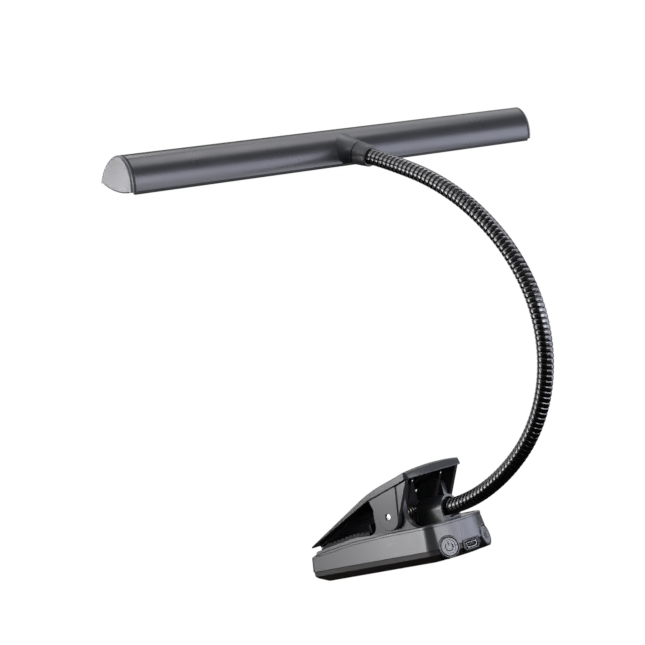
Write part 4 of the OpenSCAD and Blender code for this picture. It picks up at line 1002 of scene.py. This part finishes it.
# %% Stub
STUB_ROOT_R_MM, STUB_END_R_MM, STUB_END_Y_MM = 6.4, 5.9, 16.0
STUB_FLARE_MM = (1.2, 2.6)           # over the stub, and at its sides where there is more room
FLARE_LEAST_MM, FLARE_FREE_MM = 0.05, 0.2       # its least width, and its distance from the flat side
STUB_SAG = 0.2                       # how hollow the flare is, as a share of its width
STUB_SUNK_MM = 0.06                  # of its first ring under the skin of the arch
STUB_EDGE_MM, STUB_SIDES, FLARE_RINGS = 0.4, 96, 12
STUB_BORE_R_MM, STUB_BORE_Y_MM = 3.85, 7.0
SPIGOT_R_MM, SPIGOT_LEN_MM = 4.85, 3.4
SEAM_ROUNDS = 6                      # how often the seam between cone and arch is worked out again, to settle


def arch_y(z):
    """Depth of the arch's +y side at the height z."""
    part = np.clip(z / BAR_H_MM, 0, 1) ** BAR_FULLNESS
    return BAR_W_MM / 2 * (1 - part) ** (1 / BAR_FULLNESS)


def cone_r(y):
    """Radius of the stub at the depth y."""
    return STUB_ROOT_R_MM + (STUB_END_R_MM - STUB_ROOT_R_MM) * y / STUB_END_Y_MM


def hollow_piece(name, rings, stands_for=()):
    """A piece from rings in the bar's frame, of which the last joins the first."""
    points = on_bar(np.concatenate(rings))
    faces = grid_faces(len(rings) + 1, STUB_SIDES) % len(points)
    build(name, points, faces, "collar_plastic", "head", stands_for, sharp=True)
    print(name, "has", len(faces), "faces")


around = np.arange(STUB_SIDES) * 2 * math.pi / STUB_SIDES
corner_r = np.full(STUB_SIDES, STUB_ROOT_R_MM)
for _ in range(SEAM_ROUNDS):
    corner_r = cone_r(arch_y(COLLAR_Z_MM + corner_r * np.sin(around)))
wish = STUB_FLARE_MM[0] + (STUB_FLARE_MM[1] - STUB_FLARE_MM[0]) * np.cos(around) ** 2
below = np.maximum(-np.sin(around), 1e-6)           # never zero, because it divides
room = np.where(np.sin(around) < 0, (COLLAR_Z_MM - FLARE_FREE_MM) / below - corner_r, wish)
flare = np.clip(room, FLARE_LEAST_MM, wish)
root_r = corner_r + flare
root_y = arch_y(COLLAR_Z_MM + root_r * np.sin(around)) - STUB_SUNK_MM
strips = []
for t in np.linspace(0, 1, FLARE_RINGS + 1)[:-1]:
    hollow = STUB_SAG * flare * math.sin(math.pi * t)
    strips.append((root_r + (STUB_END_R_MM - root_r) * t - hollow,
                   root_y + (STUB_END_Y_MM - STUB_EDGE_MM - root_y) * t))
spigot_y = STUB_END_Y_MM + SPIGOT_LEN_MM
plain = quarter_round(STUB_END_Y_MM, STUB_END_R_MM, -STUB_EDGE_MM, -STUB_EDGE_MM)
plain += [(STUB_END_Y_MM, SPIGOT_R_MM), (spigot_y, SPIGOT_R_MM),
          (spigot_y, STUB_BORE_R_MM), (STUB_BORE_Y_MM, STUB_BORE_R_MM)]
strips += [(np.full(STUB_SIDES, r), np.full(STUB_SIDES, y)) for y, r in plain]
hollow_piece("bar_stub", [
    np.column_stack([r * np.cos(around), y, COLLAR_Z_MM + r * np.sin(around)]) for r, y in strips])

# %% [markdown]
# ## Collar
# A tapered collar closes the stub and holds the end of the gooseneck. It is plain lathe work: one closed
# outline, spun round the axis of the neck, with a socket for the spigot and a seat for the neck.

# %% Collar
COLLAR_Y_MM, COLLAR_MOUTH_Y_MM, COLLAR_MOUTH_R_MM = 16.4, 24.4, 5.3
COLLAR_EDGE_MM, COLLAR_SEAT_R_MM, SPIGOT_FIT_MM = 0.3, 4.2, 0.03

socket_r = SPIGOT_R_MM + SPIGOT_FIT_MM
collar_profile = quarter_round(COLLAR_Y_MM, STUB_END_R_MM, COLLAR_EDGE_MM, -COLLAR_EDGE_MM)[::-1]
collar_profile += quarter_round(COLLAR_MOUTH_Y_MM, COLLAR_MOUTH_R_MM, -COLLAR_EDGE_MM, -COLLAR_EDGE_MM)
collar_profile += [(COLLAR_MOUTH_Y_MM, COLLAR_SEAT_R_MM), (SEAT_Y_MM, COLLAR_SEAT_R_MM),
                   (SEAT_Y_MM, socket_r), (COLLAR_Y_MM, socket_r)]
collar_rings = lathe(collar_profile, STUB_SIDES)[..., (1, 0, 2)] + (0.0, 0.0, COLLAR_Z_MM)
hollow_piece("collar_skin", collar_rings, ["head_collar"])

# %% [markdown]
# ## End caps
# A cap closes each end of the bar. It is a flat moulding with a generous radius round its face, and that
# radius is what draws the dark outline in the photograph, because it mirrors the dark side of the
# studio. The rings of the cap are drawn one by one, so the radius stays even all round the arch. Between
# the cap and the housing lies a thin black rubber seal, whose black is painted shade: it draws the dark
# seam there.

# %% End caps
CAP_EDGE_MM, CAP_EDGE_POINTS = 0.95, 9
CAP_SEAM_MM = 0.15
SEAL_T_MM, SEAL_SUNK_MM = 1.1, 0.1
SEAL_SHIFT_MM = 0.02                # keeps its faces off those of the housing and the cap
LENS_BULGE_MM, LENS_SIDE_MM, LENS_POINTS = 2.0, 0.6, 33
lens_hw = BAR_W_MM / 2 - LENS_SIDE_MM
lens_r = (lens_hw ** 2 + LENS_BULGE_MM ** 2) / (2 * LENS_BULGE_MM)


def cap_outline(inset):
    """The cap's outline as (y, z): the arch above and the lens's bulge below."""
    y = np.linspace(-(lens_hw - inset), lens_hw - inset, LENS_POINTS)
    bulge = np.minimum(lens_r - LENS_BULGE_MM - np.sqrt((lens_r - inset) ** 2 - y ** 2), 0)
    return np.concatenate([arch(inset), np.stack([y, bulge], axis=-1)])


def end_plate(name, side, steps, slot, stands_for=()):
    """A plate across the bar's end, through one outline for each (x, inset) in steps."""
    rings = [across(side * x, cap_outline(inset)) for x, inset in steps]
    faces = stack_faces(len(rings), len(rings[0]))
    plate = build(name, on_bar(np.concatenate(rings)), faces, slot, "head", stands_for, sharp=True)
    keep_flats(plate)


cap_start = housing_end + SEAL_T_MM
cap_steps = [(cap_start, CAP_SEAM_MM), (cap_start + CAP_SEAM_MM, 0.0)]
cap_steps += quarter_round(BAR_LEN_MM / 2, 0.0, -CAP_EDGE_MM, CAP_EDGE_MM, CAP_EDGE_POINTS)
seal_steps = [(x + SEAL_SHIFT_MM, SEAL_SUNK_MM) for x in (housing_end, cap_start)]
for name, side, node in (("cap_left", 1, "end_cap_left"), ("cap_right", -1, "end_cap_right")):
    end_plate(name, side, cap_steps, "cap_plastic", [node])
    # The seal's black is painted shade that draws the seam between cap and housing.
    end_plate(name + "_shade_seal", side, seal_steps, "grip_rubber")
print("end caps are", CAP_T_MM, "mm thick with an edge radius of", CAP_EDGE_MM, "mm")

# %% [markdown]
# ## The cable inside the neck
# A thin cable runs from the board up through the gooseneck to the light-emitting chips. It hardly ever
# shows, but it has to bend with the neck, so it is cut at the same places.

# %% Cable
CABLE_R_MM, CABLE_SIDES = 1.5, 16
CABLE_BEND_MM = 4.0
CABLE_TIP_Y_MM = (17.0, 12.0, 9.4)      # down the stub, into the bar
RISE_POINTS, BEND_POINTS, END_POINTS, STRETCH_POINTS = 5, 7, 8, 14


def cable_piece(name, path, stands_for):
    """A stretch of the cable along a path in metres."""
    points, faces = swept_wire(path, CABLE_R_MM * MM, CABLE_SIDES)
    return build(name, points, faces, "cable_jacket", stands_for=stands_for)


low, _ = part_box("neck_cable_1")
rise_y = low.y + CABLE_R_MM * MM
bend = CABLE_BEND_MM * MM
neck_z = stations[0].z
rise = [(0, rise_y, z) for z in np.linspace(low.z, neck_z - bend, RISE_POINTS)[:-1]]
rise += [(0, y, z) for z, y in quarter_round(neck_z, rise_y, -bend, bend, BEND_POINTS)]
lower_path = np.concatenate([rise, centre_line(np.linspace(0, middles[0], END_POINTS))[0]])
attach(cable_piece("cable_foot", lower_path, []), neck_bodies[0])
for i, (a, b) in enumerate(zip(neck_bodies, neck_bodies[1:])):
    path = centre_line(np.linspace(middles[i], middles[i + 1], STRETCH_POINTS))[0]
    stretch = cable_piece(f"cable_stretch_{i + 1}", path, [f"neck_cable_{i + 1}"])
    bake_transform(stretch)
upper_end = on_bar([(0, y, COLLAR_Z_MM) for y in CABLE_TIP_Y_MM])
upper_path = np.concatenate([centre_line(np.linspace(middles[-1], neck_length, END_POINTS))[0], upper_end])
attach(cable_piece("cable_tip", upper_path, [f"neck_cable_{len(neck_bodies)}"]), neck_bodies[-1])
print("cable in", len(neck_bodies) + 1, "pieces")

# %% [markdown]
# ## Signs on the buttons
# The near button carries the usual power sign and the far one a small sun for the brightness. Both are
# raised lines of the mould, inked dark. Each stroke is a thin rod that is half sunk in the button's
# dished face, placed on the axis along which the button moves.

# %% Signs
SIGN_LINE_R_MM, SIGN_SIDES = 0.27, 10
POWER_RING_R_MM, POWER_GAP_DEG, POWER_POINTS = 2.0, 38, 40
POWER_BAR_MM = (0.5, 1.2, 1.9, 2.6)
SUN_R_MM, SUN_POINTS, SUN_RAYS = 0.9, 28, 8
SUN_RAY_MM = (1.6, 1.95, 2.3)
SQUARE_ON = 0.999                   # cosine from which a face counts as looking along the button's axis


def button_face(node, joint_name):
    """Middle, right and up of a button's dished face, looking at it from outside."""
    axis = Vector(joint(joint_name)["axis"]).normalized()
    out = axis if axis.y > 0 else -axis
    facing = [p for p in frame["nodes"][node].data.polygons if p.normal.dot(out) > SQUARE_ON]
    whole = sum(p.area for p in facing)
    middle = sum((p.center * p.area for p in facing), Vector()) / whole
    level = min(p.center.dot(out) for p in facing)
    up = (Vector((0, 0, 1)) - out * out.z).normalized()
    return middle + out * (level - middle.dot(out)), up.cross(out), up


def sign(name, node, joint_name, body, strokes):
    """A sign from strokes, each a list of (right, up) points in millimetres on the button's face."""
    middle, right, up = button_face(node, joint_name)
    all_points, all_faces = [], []
    for stroke in strokes:
        path = [tuple(middle + (right * u + up * v) * MM) for u, v in stroke]
        points, faces = swept_wire(path, SIGN_LINE_R_MM * MM, SIGN_SIDES)
        first = len(all_points)
        all_points += points.tolist()
        all_faces += [[first + i for i in f] for f in faces]
    build(name, all_points, all_faces, "collar_plastic", body)


def clock(radius, degrees):
    """A point (right, up) on a circle, counted clockwise from the top."""
    return radius * math.sin(math.radians(degrees)), radius * math.cos(math.radians(degrees))


power_turn = np.linspace(POWER_GAP_DEG, 360 - POWER_GAP_DEG, POWER_POINTS)
power_strokes = [[clock(POWER_RING_R_MM, a) for a in power_turn], [(0, up) for up in POWER_BAR_MM]]
sun_strokes = [[clock(SUN_R_MM, a) for a in np.linspace(0, 360, SUN_POINTS)]]
sun_strokes += [[clock(r, 360 * i / SUN_RAYS) for r in SUN_RAY_MM] for i in range(SUN_RAYS)]
sign("power_sign", "power_button", "power_press", "power_key", power_strokes)
sign("sun_sign", "brightness_button", "brightness_press", "brightness_key", sun_strokes)
print("signs with", len(power_strokes), "and", len(sun_strokes), "strokes")
